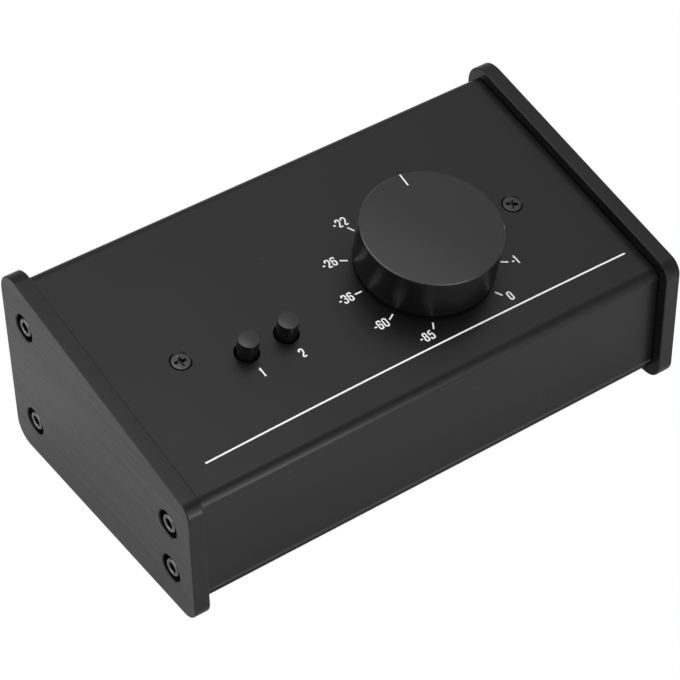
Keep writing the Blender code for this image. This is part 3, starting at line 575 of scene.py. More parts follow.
class Panel:
    """The sloped panel's own axes: across, up the slope and out, about the dial's centre."""

    def __init__(self) -> None:
        """Reads the axes from the dial's joint."""
        joint = next(j for j in frame["joints"] if j["name"] == "dial_turn")
        self.origin = Vector(joint["pos_m"])
        self.normal = -Vector(joint["axis"]).normalized()
        self.across = Vector((1, 0, 0))
        self.up = self.normal.cross(self.across)
        self.turn = self.matrix().to_euler()

    def matrix(self, across: float = 0.0, up: float = 0.0, lift: float = 0.0) -> Matrix:
        """A placing that lays local X, Y and Z along the panel's axes.

        Args:
            across: Distance to the right of the dial's centre.
            up: Distance up the slope from it.
            lift: Height over the panel.

        Returns:
            The placing.
        """
        axes = Matrix((self.across, self.up, self.normal)).transposed().to_4x4()
        place = self.origin + self.across * across + self.up * up + self.normal * lift
        return Matrix.Translation(place) @ axes

    def foot_of(self, node: str) -> Matrix:
        """The placing on the panel's face under the middle of a node."""
        offset = centre_of(node) - self.origin
        return self.matrix(offset.dot(self.across), offset.dot(self.up))


class Solid:
    """A mesh in the making, which others are cut from or joined to."""

    def __init__(self, bm: bmesh.types.BMesh) -> None:
        """Takes up a mesh in the making."""
        self.bm = bm

    @classmethod
    def block(cls, low: Sequence[float], high: Sequence[float]) -> Solid:
        """A box between two corners."""
        low, high = Vector(low), Vector(high)
        bm = bmesh.new()
        size = Matrix.Diagonal((*(high - low), 1.0))
        bmesh.ops.create_cube(bm, size=1.0, matrix=Matrix.Translation((low + high) / 2) @ size)
        return cls(bm)

    @classmethod
    def prism(cls, radius: float, low: float, high: float, sides: int) -> Solid:
        """An upright prism about local Z, between two heights."""
        bm = bmesh.new()
        place = Matrix.Translation((0, 0, (low + high) / 2))
        bmesh.ops.create_cone(
            bm, cap_ends=True, segments=sides, radius1=radius, radius2=radius, depth=high - low,
            matrix=place,
        )
        return cls(bm)

    @classmethod
    def turned(
        cls, points: Sequence[Point], steps: int, soft: float = 0.0, ring: bool = False
    ) -> Solid:
        """Spins a profile about local Z.

        Args:
            points: The profile's points as (radius, height). Unless it is a ring, the axis
                points level with its ends are added.
            steps: How many facets go once round.
            soft: How far from each corner its rounding starts.
            ring: Whether the profile is closed and stays clear of the axis.

        Returns:
            The turned solid.
        """
        profile = list(points)
        if not ring and profile[0][0] > 0:
            profile.insert(0, (0, profile[0][1]))
        if not ring and profile[-1][0] > 0:
            profile.append((0, profile[-1][1]))
        if soft:
            corners, profile = profile, []
            for index, corner in enumerate(corners):
                if not ring and index in (0, len(corners) - 1):
                    profile.append(corner)
                    continue
                before, after = corners[index - 1], corners[(index + 1) % len(corners)]
                profile += eased(corner, before, after, soft)
        bm = bmesh.new()
        verts = [bm.verts.new((radius, 0, height)) for radius, height in profile]
        edges = [bm.edges.new(pair) for pair in zip(verts, verts[1:])]
        if ring:
            edges.append(bm.edges.new((verts[-1], verts[0])))
        bmesh.ops.spin(
            bm, geom=verts + edges, cent=(0, 0, 0), axis=(0, 0, 1), angle=math.tau, steps=steps,
            use_merge=True,
        )
        return cls(bm).closed()

    @classmethod
    def bore(cls, mouth: float, waist: float, top: float, bottom: float, steps: int) -> Solid:
        """A cutter for a round hole whose mouth slopes in at 45 degrees.

        Args:
            mouth: Radius at the face.
            waist: Radius of the hole.
            top: Height of the face.
            bottom: Height of the hole's end.
            steps: How many facets go once round.

        Returns:
            The cutter, which stands out of the face.
        """
        slope = [(mouth + OVERRUN, top + OVERRUN), (waist, top + waist - mouth)]
        return cls.turned([*slope, (waist, bottom)], steps)

    @classmethod
    def converted(cls, curve: bpy.types.Curve) -> Solid:
        """Makes a solid of a curve, and removes the curve.

        Args:
            curve: A curve with some thickness.

        Returns:
            The solid.
        """
        guide = in_scene("guide", curve)
        graph = bpy.context.evaluated_depsgraph_get()
        mesh = bpy.data.meshes.new_from_object(guide.evaluated_get(graph))
        bm = bmesh.new()
        bm.from_mesh(mesh)
        bpy.data.objects.remove(guide)
        bpy.data.curves.remove(curve)
        bpy.data.meshes.remove(mesh)
        return cls(bm).closed()

    def mesh(self, name: str) -> bpy.types.Mesh:
        """Puts the shape into a new mesh, and gives up the one in the making."""
        mesh = bpy.data.meshes.new(name)
        self.bm.to_mesh(mesh)
        self.bm.free()
        return mesh

    def closed(self) -> Solid:
        """Merges doubled points and turns every face outwards."""
        bmesh.ops.remove_doubles(self.bm, verts=self.bm.verts, dist=MERGE_DISTANCE)
        bmesh.ops.recalc_face_normals(self.bm, faces=self.bm.faces)
        return self

    def raised(self, by: Sequence[float]) -> Solid:
        """Sweeps every face along a vector, and closes the sides between."""
        swept = bmesh.ops.extrude_face_region(self.bm, geom=list(self.bm.faces), use_keep_orig=True)
        moved = [item for item in swept["geom"] if isinstance(item, bmesh.types.BMVert)]
        bmesh.ops.translate(self.bm, verts=moved, vec=by)
        return self.closed()

    def bevel(self, edges: Iterable[bmesh.types.BMEdge], width: float, segments: int) -> Solid:
        """Rounds or chamfers some edges."""
        bmesh.ops.bevel(
            self.bm, geom=list(edges), offset=width, segments=segments, profile=0.5,
            affect="EDGES", material=-1,
        )
        return self

    def placed(self, matrix: Matrix) -> Solid:
        """Moves the solid by a placing."""
        bmesh.ops.transform(self.bm, matrix=matrix, verts=self.bm.verts)
        return self

    def add(self, others: Iterable[Solid]) -> Solid:
        """Puts other solids beside this one, without joining them."""
        for other in others:
            mesh = other.mesh("tool")
            self.bm.from_mesh(mesh)
            bpy.data.meshes.remove(mesh)
        return self

    def _boolean(self, others: Sequence[Solid], operation: str) -> Solid:
        """Cuts, joins or crosses this solid with others.

        Args:
            others: Solids that don't touch each other.
            operation: What the Boolean modifier does with them.

        Returns:
            This solid.
        """
        tool = others[0].add(others[1:])
        target, cutter = [in_scene("work", solid.mesh("work")) for solid in (self, tool)]
        modifier = target.modifiers.new("cut", "BOOLEAN")
        modifier.operation = operation
        modifier.solver = "EXACT"
        modifier.object = cutter
        graph = bpy.context.evaluated_depsgraph_get()
        self.bm = bmesh.new()
        self.bm.from_object(target, graph)
        for obj in (target, cutter):
            mesh = obj.data
            bpy.data.objects.remove(obj)
            bpy.data.meshes.remove(mesh)
        return self

    def cut(self, *others: Solid) -> Solid:
        """Cuts other solids from this one."""
        return self._boolean(others, "DIFFERENCE")

    def join(self, *others: Solid) -> Solid:
        """Joins other solids to this one."""
        return self._boolean(others, "UNION")

    def common(self, *others: Solid) -> Solid:
        """Keeps only what lies in another solid too."""
        return self._boolean(others, "INTERSECT")


class Workshop:
    """Turns solids into finished pieces of the object."""

    def __init__(self, finishes: Finishes) -> None:
        """Takes the finishes that the pieces are given."""
        self.finishes = finishes

    def piece(
        self,
        name: str,
        solid: Solid,
        slot: Slot,
        body: Body = Body.CASE,
        finish: bpy.types.Material | None = None,
    ) -> bpy.types.Object:
        """Makes a piece.

        Args:
            name: The piece's name.
            solid: Its shape, in place.
            slot: The material slot that it takes its finish from.
            body: The body that it moves with.
            finish: A finish of its own in place of the slot's.

        Returns:
            The piece's object.
        """
        mesh = solid.mesh(name)
        mesh.shade_smooth()
        mesh.set_sharp_from_angle(angle=SHARP_ANGLE)
        mesh.materials.clear()
        mesh.materials.append(finish or self.finishes[slot])
        obj = in_scene(name, mesh)
        obj.modifiers.new("flat_faces_first", "WEIGHTED_NORMAL").keep_sharp = True
        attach(obj, body.value)
        log.info("%s: %d faces, on %s", name, len(mesh.polygons), body.value)
        return obj

    def stand_in(
        self,
        node: str,
        solid: Solid,
        slot: Slot,
        body: Body = Body.CASE,
        finish: bpy.types.Material | None = None,
    ) -> bpy.types.Object:
        """Makes the piece that stands for a node, from what a piece takes."""
        obj = self.piece(f"{node}_detailed", solid, slot, body, finish)
        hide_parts(node)
        return obj


@dataclass
class Wedge:
    """The wedge that the shell and the end plates share, from the plates' outline."""

    depth: float = 91.7 * MM
    front_height: float = 42.1 * MM
    rear_height: float = 63.4 * MM
    lift: float = 1.5 * MM

    @property
    def rise(self) -> float:
        """Climb of the top over its depth."""
        return (self.rear_height - self.front_height) / self.depth

    def corners(self, inset: float, bottom: float) -> list[Vector]:
        """Corners in (y, z), drawn in from the outline.

        Args:
            inset: How far inside the front, the top and the rear they lie.
            bottom: Height of the lower edge over the desk.

        Returns:
            Front bottom, front top, rear top and rear bottom.
        """
        front, rear = inset - self.depth / 2, self.depth / 2 - inset
        drop = self.lift + self.front_height - inset * math.hypot(1, self.rise)
        tops = [drop + self.rise * (y + self.depth / 2) for y in (front, rear)]
        return [
            Vector((front, bottom)),
            Vector((front, tops[0])),
            Vector((rear, tops[1])),
            Vector((rear, bottom)),
        ]

    def top(self, inset: float, y: float) -> float:
        """Height of the sloped face at a depth."""
        front = self.corners(inset, 0.0)[1]
        return front.y + self.rise * (y - front.x)

    def solid(self, inset: float, bottom: float, radii: Sequence[float], span: tuple[float, float],
              segments: int) -> Solid:
        """The wedge as a prism along X with rounded corners.

        Args:
            inset: How far inside the outline it lies.
            bottom: Height of its lower edge.
            radii: Radii of the front bottom, front top, rear top and rear bottom corners.
            span: Where it starts and ends along X.
            segments: How many facets each corner has.

        Returns:
            The solid.
        """
        bm = bmesh.new()
        corners = self.corners(inset, bottom)
        bm.faces.new([bm.verts.new((span[0], *corner)) for corner in corners])
        solid = Solid(bm).raised((span[1] - span[0], 0, 0))
        for index, radius in enumerate(radii):
            corner = corners[index]
            before = corners[index - 1] - corner
            after = corners[(index + 1) % len(corners)] - corner
            width = radius / math.tan(before.angle(after) / 2)
            edges = [edge for edge in bm.edges if self._runs_along(edge, corner)]
            solid.bevel(edges, width, segments)
        return solid

    @staticmethod
    def _runs_along(edge: bmesh.types.BMEdge, corner: Vector) -> bool:
        """Whether an edge is the long one through a corner."""
        ends = [Vector(vert.co.yz) - corner for vert in edge.verts]
        return all(end.length < MERGE_DISTANCE for end in ends)


@dataclass
class EndPlates:
    """The two brushed end plates, with their recessed socket screws."""

    wedge: Wedge
    thickness: float = 4.9 * MM
    radii: tuple[float, ...] = (5.4 * MM, 4.8 * MM, 7.2 * MM, 6.2 * MM)
    rim: float = 0.35 * MM
    rim_segments: int = 3
    corner_segments: int = 14
    counterbore: float = 8.3 * MM
    counterbore_depth: float = 3.6 * MM
    mouth_chamfer: float = 0.3 * MM
    shank_hole: float = 3.2 * MM
    head: float = 5.5 * MM
    head_height: float = 3.0 * MM
    head_recess: float = 0.3 * MM
    head_chamfer: float = 0.3 * MM
    head_softness: float = 0.08 * MM
    shank: float = 2.6 * MM
    shank_length: float = 10.0 * MM
    key: float = 3.0 * MM
    key_depth: float = 1.9 * MM
    key_lead: float = 0.14 * MM
    steps: int = 64

    def build(self, workshop: Workshop) -> None:
        """Makes both plates and their eight screws.

        Args:
            workshop: What turns solids into pieces.
        """
        for side in Side:
            node = f"{side.value}_end_plate"
            low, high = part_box(node)
            outside = low.x if side is Side.LEFT else high.x
            span = sorted((outside - side.sign * self.thickness, outside))
            plate = self.wedge.solid(0.0, self.wedge.lift, self.radii, span, self.corner_segments)
            rims = [edge for edge in plate.bm.edges if edge.verts[0].co.x == edge.verts[1].co.x]
            plate.bevel(rims, self.rim, self.rim_segments)
            recesses = []
            for screw in sorted(frame["nodes"]):
                if screw.startswith(side.value) and screw.endswith("plate_screw"):
                    middle = centre_of(screw)
                    place = placing((outside, *middle.yz), side.sign * RIGHT_ANGLE, "Y")
                    workshop.stand_in(screw, self._screw().placed(place), Slot.BLACK_SCREW)
                    recesses.append(self._recess().placed(place))
            plate.cut(*recesses)
            workshop.stand_in(node, plate, Slot.PLATE_BLACK)

    def _recess(self) -> Solid:
        """The counterbore with its broken mouth, opening at local Z = 0.

        Returns:
            The solid.
        """
        wide, narrow = self.counterbore / 2, self.shank_hole / 2
        profile = [
            (wide + self.mouth_chamfer + OVERRUN, OVERRUN),
            (wide, -self.mouth_chamfer),
            (wide, -self.counterbore_depth),
            (narrow, -self.counterbore_depth),
            (narrow, -self.thickness - OVERRUN),
        ]
        return Solid.turned(profile, self.steps)

    def _screw(self) -> Solid:
        """A socket head screw whose head lies just under local Z = 0.

        Returns:
            The solid.
        """
        top = -self.head_recess
        seat = top - self.head_height
        wide, thin = self.head / 2, self.shank / 2
        profile = [
            (wide - self.head_chamfer, top),
            (wide, top - self.head_chamfer),
            (wide, seat),
            (thin, seat),
            (thin, seat - self.shank_length),
        ]
        hexagon = self.key / math.sqrt(3)
        socket = Solid.prism(hexagon, top - self.key_depth, top + OVERRUN, 6)
        lead = [
            (hexagon + self.key_lead + OVERRUN, top + OVERRUN),
            (hexagon - self.key_lead, top - 2 * self.key_lead),
        ]
        screw = Solid.turned(profile, self.steps, self.head_softness)
        return screw.cut(socket).cut(Solid.turned(lead, self.steps))


@dataclass
class CrossScrew:
    """A countersunk screw with a cross recess, as in the panel and the bottom cover."""

    head: float = 5.5 * MM
    face_depth: float = 0.1 * MM
    softness: float = 0.2 * MM
    shank: float = 2.6 * MM
    slot_length: float = 5.0 * MM
    slot_width: float = 1.02 * MM
    slot_depth: float = 1.2 * MM
    taper_share: float = 0.4
    core: float = 1.7 * MM
    steps: int = 48

    def solid(self, length: float) -> Solid:
        """The screw, its face just under local Z = 0 and its tip a length under that.

        Args:
            length: Depth of the tip under local Z = 0.

        Returns:
            The solid.
        """
        top = -self.face_depth
        wide, thin = self.head / 2, self.shank / 2
        profile = [(wide, top), (thin, top - wide + thin), (thin, -length)]
        screw = Solid.turned(profile, self.steps, self.softness)
        floor = top - self.slot_depth
        long, half = self.slot_length / 2, self.slot_width / 2
        for turn in (0.0, RIGHT_ANGLE):
            arm = Solid.block((-long, -half, floor), (long, half, OVERRUN))
            for vert in arm.bm.verts:
                if vert.co.z < 0:
                    vert.co.x *= self.taper_share
            screw.cut(arm.placed(Matrix.Rotation(turn, 4, "Z")))
        core = [(self.core / 2, OVERRUN), (self.core / 2, top), (half, floor), (0, floor - half)]
        return screw.cut(Solid.turned(core, self.steps))


@dataclass
class CaseShell:
    """The extruded shell with its bends, its holes and the screws in its sloped face."""

    wedge: Wedge
    panel: Panel
    overhang: float = 3.35 * MM
    wall: float = 2.0 * MM
    bend: float = 3.3 * MM
    bend_segments: int = 16
    ledge: float = 13.0 * MM
    ledge_thickness: float = 2.0 * MM
    rebate: float = 4.6 * MM
    cover: float = 1.6 * MM
    gap: float = 0.3 * MM
    channel: float = 3.6 * MM
    web: float = 2.0 * MM
    screw_hole: float = 1.6 * MM
    button_hole: float = 3.55 * MM
    bushing_hole: float = 4.8 * MM
    jack_hole: float = 5.0 * MM
    sink_mouth: float = 3.25 * MM
    sink_waist: float = 1.6 * MM
    hole_chamfer: float = 0.12 * MM
    panel_screw_length: float = 8.0 * MM
    steps: int = 64

    def build(self, workshop: Workshop) -> None:
        """Makes the shell and its two panel screws.

        Args:
            workshop: What turns solids into pieces.
        """
        low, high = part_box("case_shell")
        span = (low.x, high.x)
        past = (low.x - OVERRUN, high.x + OVERRUN)
        shell = self.wedge.solid(self.overhang, low.z, [self.bend] * 4, span, self.bend_segments)
        rebate_top = low.z + self.cover + self.gap
        ledge_top = rebate_top + self.ledge_thickness
        inner = [self.bend - self.wall] * 4
        inset = self.overhang + self.wall
        shell.cut(self.wedge.solid(inset, ledge_top, inner, past, self.bend_segments // 2))
        tools = []
        for name in ("front_lower", "front_upper", "rear_upper", "rear_lower"):
            y, z = centre_of(f"left_{name}_plate_screw").yz
            wall_y = low.y if name.startswith("front") else high.y
            line = placing((0, y, z), RIGHT_ANGLE, "Y")
            tube = Solid.prism(self.channel, *span, self.steps // 2).placed(line)
            near, far = sorted((wall_y + math.copysign(self.wall / 2, y - wall_y), y))
            web = Solid.block((low.x, near, z - self.web / 2), (high.x, far, z + self.web / 2))
            shell.join(tube).join(web)
            tools.append(Solid.prism(self.screw_hole, *past, self.steps // 2).placed(line))
        shell.cut(*tools)
        for margin, top in ((self.rebate, rebate_top), (self.ledge, ledge_top + OVERRUN)):
            first = (past[0], low.y + margin, low.z - OVERRUN)
            shell.cut(Solid.block(first, (past[1], high.y - margin, top)))
        shell.cut(*self._ledge_holes(rebate_top, ledge_top))
        shell.cut(*self._panel_holes())
        shell.cut(*self._jack_holes())
        workshop.stand_in("case_shell", shell, Slot.CASE_BLACK)
        dull = workshop.finishes.dull_steel
        for side, turn in PANEL_SCREW_TURNS.items():
            node = f"{side.value}_panel_screw"
            place = self.panel.foot_of(node) @ Matrix.Rotation(turn, 4, "Z")
            screw = CrossScrew().solid(self.panel_screw_length).placed(place)
            workshop.stand_in(node, screw, Slot.BLACK_SCREW, Body.CASE, dull)

    def _ledge_holes(self, bottom: float, top: float) -> list[Solid]:
        """The holes for the cover's screws, between two heights."""
        holes = []
        for name in COVER_SCREWS:
            hole = Solid.prism(self.screw_hole, bottom - OVERRUN, top + OVERRUN, self.steps // 2)
            holes.append(hole.placed(placing((*centre_of(name).xy, 0))))
        return holes

    def _hole(self, mouth: float, waist: float) -> Solid:
        """A round hole through the wall, its mouth at local Z = 0."""
        return Solid.bore(mouth, waist, 0, -self.wall - OVERRUN, self.steps)

    def _panel_holes(self) -> list[Solid]:
        """The holes of the sloped face: dial, buttons and countersinks.

        Returns:
            A cutter for each.
        """
        mouth = self.bushing_hole + self.hole_chamfer
        holes = [self._hole(mouth, self.bushing_hole).placed(self.panel.matrix())]
        mouth = self.button_hole + self.hole_chamfer
        for side in Side:
            place = self.panel.foot_of(f"{side.value}_button_cap")
            holes.append(self._hole(mouth, self.button_hole).placed(place))
            place = self.panel.foot_of(f"{side.value}_panel_screw")
            holes.append(self._hole(self.sink_mouth, self.sink_waist).placed(place))
        return holes

    def _jack_holes(self) -> list[Solid]:
        """The holes of the rear wall."""
        mouth = self.jack_hole + self.hole_chamfer
        return [self._hole(mouth, self.jack_hole).placed(jack_place(name)) for name in JACKS]


PANEL_SCREW_TURNS = {Side.LEFT: math.radians(-8.0), Side.RIGHT: math.radians(58.0)}
COVER_SCREWS = [
    f"{depth}_{side}_cover_screw" for depth in ("front", "rear") for side in ("left", "right")
]
JACKS = [f"{side}_{way}" for way in ("input", "output") for side in ("left", "right")]


def jack_place(name: str) -> Matrix:
    """The placing of a jack's mouth on the rear wall, with local Z straight out of it."""
    middle, rear = centre_of(f"{name}_nut"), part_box("case_shell")[1].y
    return placing((middle.x, rear, middle.z), -RIGHT_ANGLE, "X")


@dataclass
class Underside:
    """The bottom cover, its four screws and the four feet."""

    wall: float = 1.6 * MM
    edge: float = 0.2 * MM
    edge_segments: int = 2
    sink_mouth: float = 3.1 * MM
    sink_waist: float = 1.6 * MM
    screw_length: float = 5.0 * MM
    foot_edge: float = 0.7 * MM
    foot_taper: float = 0.75 * MM
    steps: int = 64

    def build(self, workshop: Workshop) -> None:
        """Makes the cover, its screws and the feet.

        Args:
            workshop: What turns solids into pieces.
        """
        low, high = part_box("bottom_cover")
        cover = Solid.block(low, high)
        cover.bevel(cover.bm.edges, self.edge, self.edge_segments)
        sinks = []
        for name in COVER_SCREWS:
            place = placing((*centre_of(name).xy, low.z), math.pi, "X")
            sink = Solid.bore(self.sink_mouth, self.sink_waist, 0, -self.wall - OVERRUN, self.steps)
            sinks.append(sink.placed(place))
            screw = CrossScrew().solid(self.screw_length).placed(place)
            workshop.stand_in(name, screw, Slot.BLACK_SCREW)
        cover.cut(*sinks)
        workshop.stand_in("bottom_cover", cover, Slot.CASE_BLACK)
        for name in (node for node in frame["nodes"] if node.endswith("_foot")):
            low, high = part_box(name)
            wide = (high.x - low.x) / 2
            profile = [(wide, high.z), (wide - self.foot_taper, 0)]
            foot = Solid.turned(profile, self.steps, self.foot_edge)
            foot.placed(placing((*centre_of(name).xy, 0)))
            workshop.stand_in(name, foot, Slot.RUBBER)


@dataclass
class LevelKnob:
    """The turned knob with its white pointer line and its set screw."""

    panel: Panel
    radius: float = 20.25 * MM
    top: float = 14.95 * MM
    bottom: float = 0.8 * MM
    chamfer: float = 0.35 * MM
    softness: float = 0.1 * MM
    recess: float = 8.0 * MM
    recess_top: float = 6.1 * MM
    bore: float = 3.3 * MM
    bore_top: float = 12.7 * MM
    pointer_length: float = 4.5 * MM
    pointer_width: float = 0.5 * MM
    pointer_skew: float = math.radians(7.0)
    pointer_depth: float = 0.25 * MM
    paint_sink: float = 0.03 * MM
    paint_edge: float = 0.02 * MM
    rest_angle: float = math.radians(-10.0)
    screw_height: float = 9.2 * MM
    screw_radius: float = 1.4 * MM
    screw_start: float = 2.5 * MM
    screw_length: float = 5.0 * MM
    screw_softness: float = 0.2 * MM
    screw_key: float = 1.5 * MM
    screw_steps: int = 32
    hole_gap: float = 0.3 * MM
    steps: int = 192

    def build(self, workshop: Workshop) -> None:
        """Makes the knob, its paint line and its set screw.

        Args:
            workshop: What turns solids into pieces.
        """
        rest = self.panel.matrix() @ Matrix.Rotation(self.rest_angle, 4, "Z")
        profile = [
            (self.radius - self.chamfer, self.top),
            (self.radius, self.top - self.chamfer),
            (self.radius, self.bottom + self.chamfer),
            (self.radius - self.chamfer, self.bottom),
            (self.recess, self.bottom),
            (self.recess, self.recess_top),
            (self.bore, self.recess_top),
            (self.bore, self.bore_top),
        ]
        knob = Solid.turned(profile, self.steps, self.softness)
        middle = Matrix.Translation((0, self.radius - self.pointer_length / 2, 0))
        skew = middle @ Matrix.Rotation(self.pointer_skew, 4, "Z") @ middle.inverted()
        half, top = self.pointer_width / 2, self.top
        low = (-half, self.radius - self.pointer_length, top - self.pointer_depth)
        groove = Solid.block(low, (half, self.radius + OVERRUN, top + OVERRUN))
        outward = placing((0, 0, self.screw_height), -RIGHT_ANGLE, "X")
        wide = self.screw_radius + self.hole_gap
        hole = Solid.prism(wide, 0, self.radius + OVERRUN, self.screw_steps)
        knob.cut(groove.placed(skew)).cut(hole.placed(outward))
        workshop.stand_in("knob", knob.placed(rest), Slot.KNOB_BLACK, Body.DIAL)
        paint = Solid.block(low, (half, self.radius - self.chamfer / 2, top - self.paint_sink))
        paint.bevel(paint.bm.edges, self.paint_edge, 1)
        workshop.piece("pointer_paint", paint.placed(rest @ skew), Slot.WHITE_PRINT, Body.DIAL)
        end = self.screw_start + self.screw_length
        shape = [(self.screw_radius, end), (self.screw_radius, self.screw_start)]
        screw = Solid.turned(shape, self.screw_steps, self.screw_softness)
        key = self.screw_key / math.sqrt(3)
        screw.cut(Solid.prism(key, end - self.screw_key, end + OVERRUN, 6)).placed(rest @ outward)
        workshop.stand_in("knob_set_screw", screw, Slot.BLACK_SCREW, Body.DIAL)


@dataclass
class PushButtons:
    """The two button caps and the springs under them."""

    panel: Panel
    radius: float = 3.0 * MM
    height: float = 6.1 * MM
    skirt: float = 1.2 * MM
    crown: float = 0.15 * MM
    edge: float = 0.12 * MM
    edge_steps: int = 4
    socket: float = 2.45 * MM
    socket_top: float = 2.8 * MM
    crown_steps: int = 8
    steps: int = 96
    wire: float = 0.4 * MM
    wire_resolution: int = 3
    spring_radius: float = 2.65 * MM
    spring_turns: int = 4
    spring_low: float = -6.6 * MM
    spring_high: float = -1.7 * MM
    travel: float = 2.5 * MM
    points_per_turn: int = 24

    def build(self, workshop: Workshop) -> None:
        """Makes both caps and both springs.

        Args:
            workshop: What turns solids into pieces.
        """
        for side, body in ((Side.LEFT, Body.LEFT_BUTTON), (Side.RIGHT, Body.RIGHT_BUTTON)):
            node = f"{side.value}_button_cap"
            place = self.panel.foot_of(node)
            workshop.stand_in(node, self._cap().placed(place), Slot.BUTTON_BLACK, body)
            self._spring(workshop, side, place)

    def _cap(self) -> Solid:
        """The cap about its own axis.

        Returns:
            The solid.
        """
        flat, rim_height = self.radius - self.edge, self.height - self.crown
        shares = [step / self.crown_steps for step in range(self.crown_steps + 1)]
        profile = [(flat * share, self.height - self.crown * share**2) for share in shares]
        rim, foot = (self.radius, rim_height), (self.radius, -self.skirt)
        profile += eased(rim, (0, rim_height), foot, self.edge, self.edge_steps)[1:]
        profile += [foot, (self.socket, -self.skirt), (self.socket, self.socket_top)]
        return Solid.turned(profile, self.steps)

    def _spring(self, workshop: Workshop, side: Side, place: Matrix) -> None:
        """One coil spring under a button.

        Args:
            workshop: What makes the piece.
            side: The button that it is under.
            place: The placing of that button's foot.
        """
        node = f"{side.value}_spring"
        curve = bpy.data.curves.new(node, "CURVE")
        curve.dimensions = "3D"
        curve.bevel_depth = self.wire / 2
        curve.bevel_resolution = self.wire_resolution
        curve.use_fill_caps = True
        last = self.spring_turns * self.points_per_turn
        spline = curve.splines.new("POLY")
        spline.points.add(last)
        for index, point in enumerate(spline.points):
            share = index / last
            angle = math.tau * self.spring_turns * share
            height = self.spring_low + (self.spring_high - self.spring_low) * share
            local = (self.spring_radius * math.cos(angle), self.spring_radius * math.sin(angle))
            point.co = (*(place @ Vector((*local, height))), 1)
        piece = workshop.stand_in(node, Solid.converted(curve), Slot.ZINC)
        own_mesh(piece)


@dataclass
class RearJacks:
    """The four jacks of the rear wall with their washers and nuts."""

    body_edge: float = 0.4 * MM
    body_edge_segments: int = 2
    barrel: float = 4.7 * MM
    reach: float = 2.9 * MM
    wall: float = 2.0 * MM
    gap: float = 0.3 * MM
    bore: float = 3.25 * MM
    bore_depth: float = 24.0 * MM
    mouth: float = 0.5 * MM
    thread_pitch: float = 0.7 * MM
    thread_depth: float = 0.22 * MM
    nut_flats: float = 12.7 * MM
    nut_crown: float = 0.35 * MM
    washer: float = 6.8 * MM
    washer_softness: float = 0.08 * MM
    steps: int = 64

    def build(self, workshop: Workshop) -> None:
        """Makes each jack, its washer and its nut.

        Args:
            workshop: What turns solids into pieces.
        """
        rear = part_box("case_shell")[1].y
        for name in JACKS:
            place = jack_place(name)
            jack = self._jack(f"{name}_jack", place)
            workshop.stand_in(f"{name}_jack", jack, Slot.MOULDED_BLACK)
            for part, make in (("nut", self._nut), ("washer", self._washer)):
                low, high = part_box(f"{name}_{part}")
                solid = make(low.y - rear, high.y - rear).placed(place)
                workshop.stand_in(f"{name}_{part}", solid, Slot.ZINC)

    def _jack(self, node: str, place: Matrix) -> Solid:
        """One jack: its moulded body, its threaded barrel and its bore.

        Args:
            node: The jack's node.
            place: The placing of its mouth.

        Returns:
            The solid, in place.
        """
        low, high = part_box(node)
        front = high.y - self.reach - self.wall - self.gap
        body = Solid.block(low, (high.x, front, high.z))
        body.bevel(body.bm.edges, self.body_edge, self.body_edge_segments)
        turns = int((self.reach + self.wall) / self.thread_pitch)
        end = self.reach - self.mouth
        root = self.barrel - self.thread_depth
        profile = [(root, -self.wall - 2 * self.gap - self.body_edge)]
        for turn in range(turns):
            foot = end - (turns - turn) * self.thread_pitch
            profile += [(root, foot), (self.barrel, foot + self.thread_pitch / 2)]
        profile += [(root, end), (self.barrel - self.mouth, self.reach)]
        body.join(Solid.turned(profile, self.steps).placed(place))
        inner = (self.bore + self.mouth, self.bore, self.reach, self.reach - self.bore_depth)
        return body.cut(Solid.bore(*inner, self.steps).placed(place))

    def _nut(self, bottom: float, top: float) -> Solid:
        """A hexagonal nut with crowned corners and a broken bore.

        Args:
            bottom: Height of its seat.
            top: Height of its outer face.

        Returns:
            The solid.
        """
        radius = self.nut_flats / math.sqrt(3)
        crown = [
            (self.nut_flats / 2 - self.gap / 2, top),
            (radius + OVERRUN, top - self.nut_crown - OVERRUN / 2),
            (radius + OVERRUN, bottom),
        ]
        nut = Solid.prism(radius, bottom, top, 6).common(Solid.turned(crown, self.steps))
        hole = self.barrel + self.gap
        return nut.cut(Solid.bore(hole + self.gap, hole, top, bottom - OVERRUN, self.steps))

    def _washer(self, bottom: float, top: float) -> Solid:
        """A flat washer with eased rims, between two heights."""
        hole = self.barrel + self.gap
        ring = [(hole, bottom), (self.washer, bottom), (self.washer, top), (hole, top)]
        return Solid.turned(ring, self.steps, self.washer_softness, ring=True)


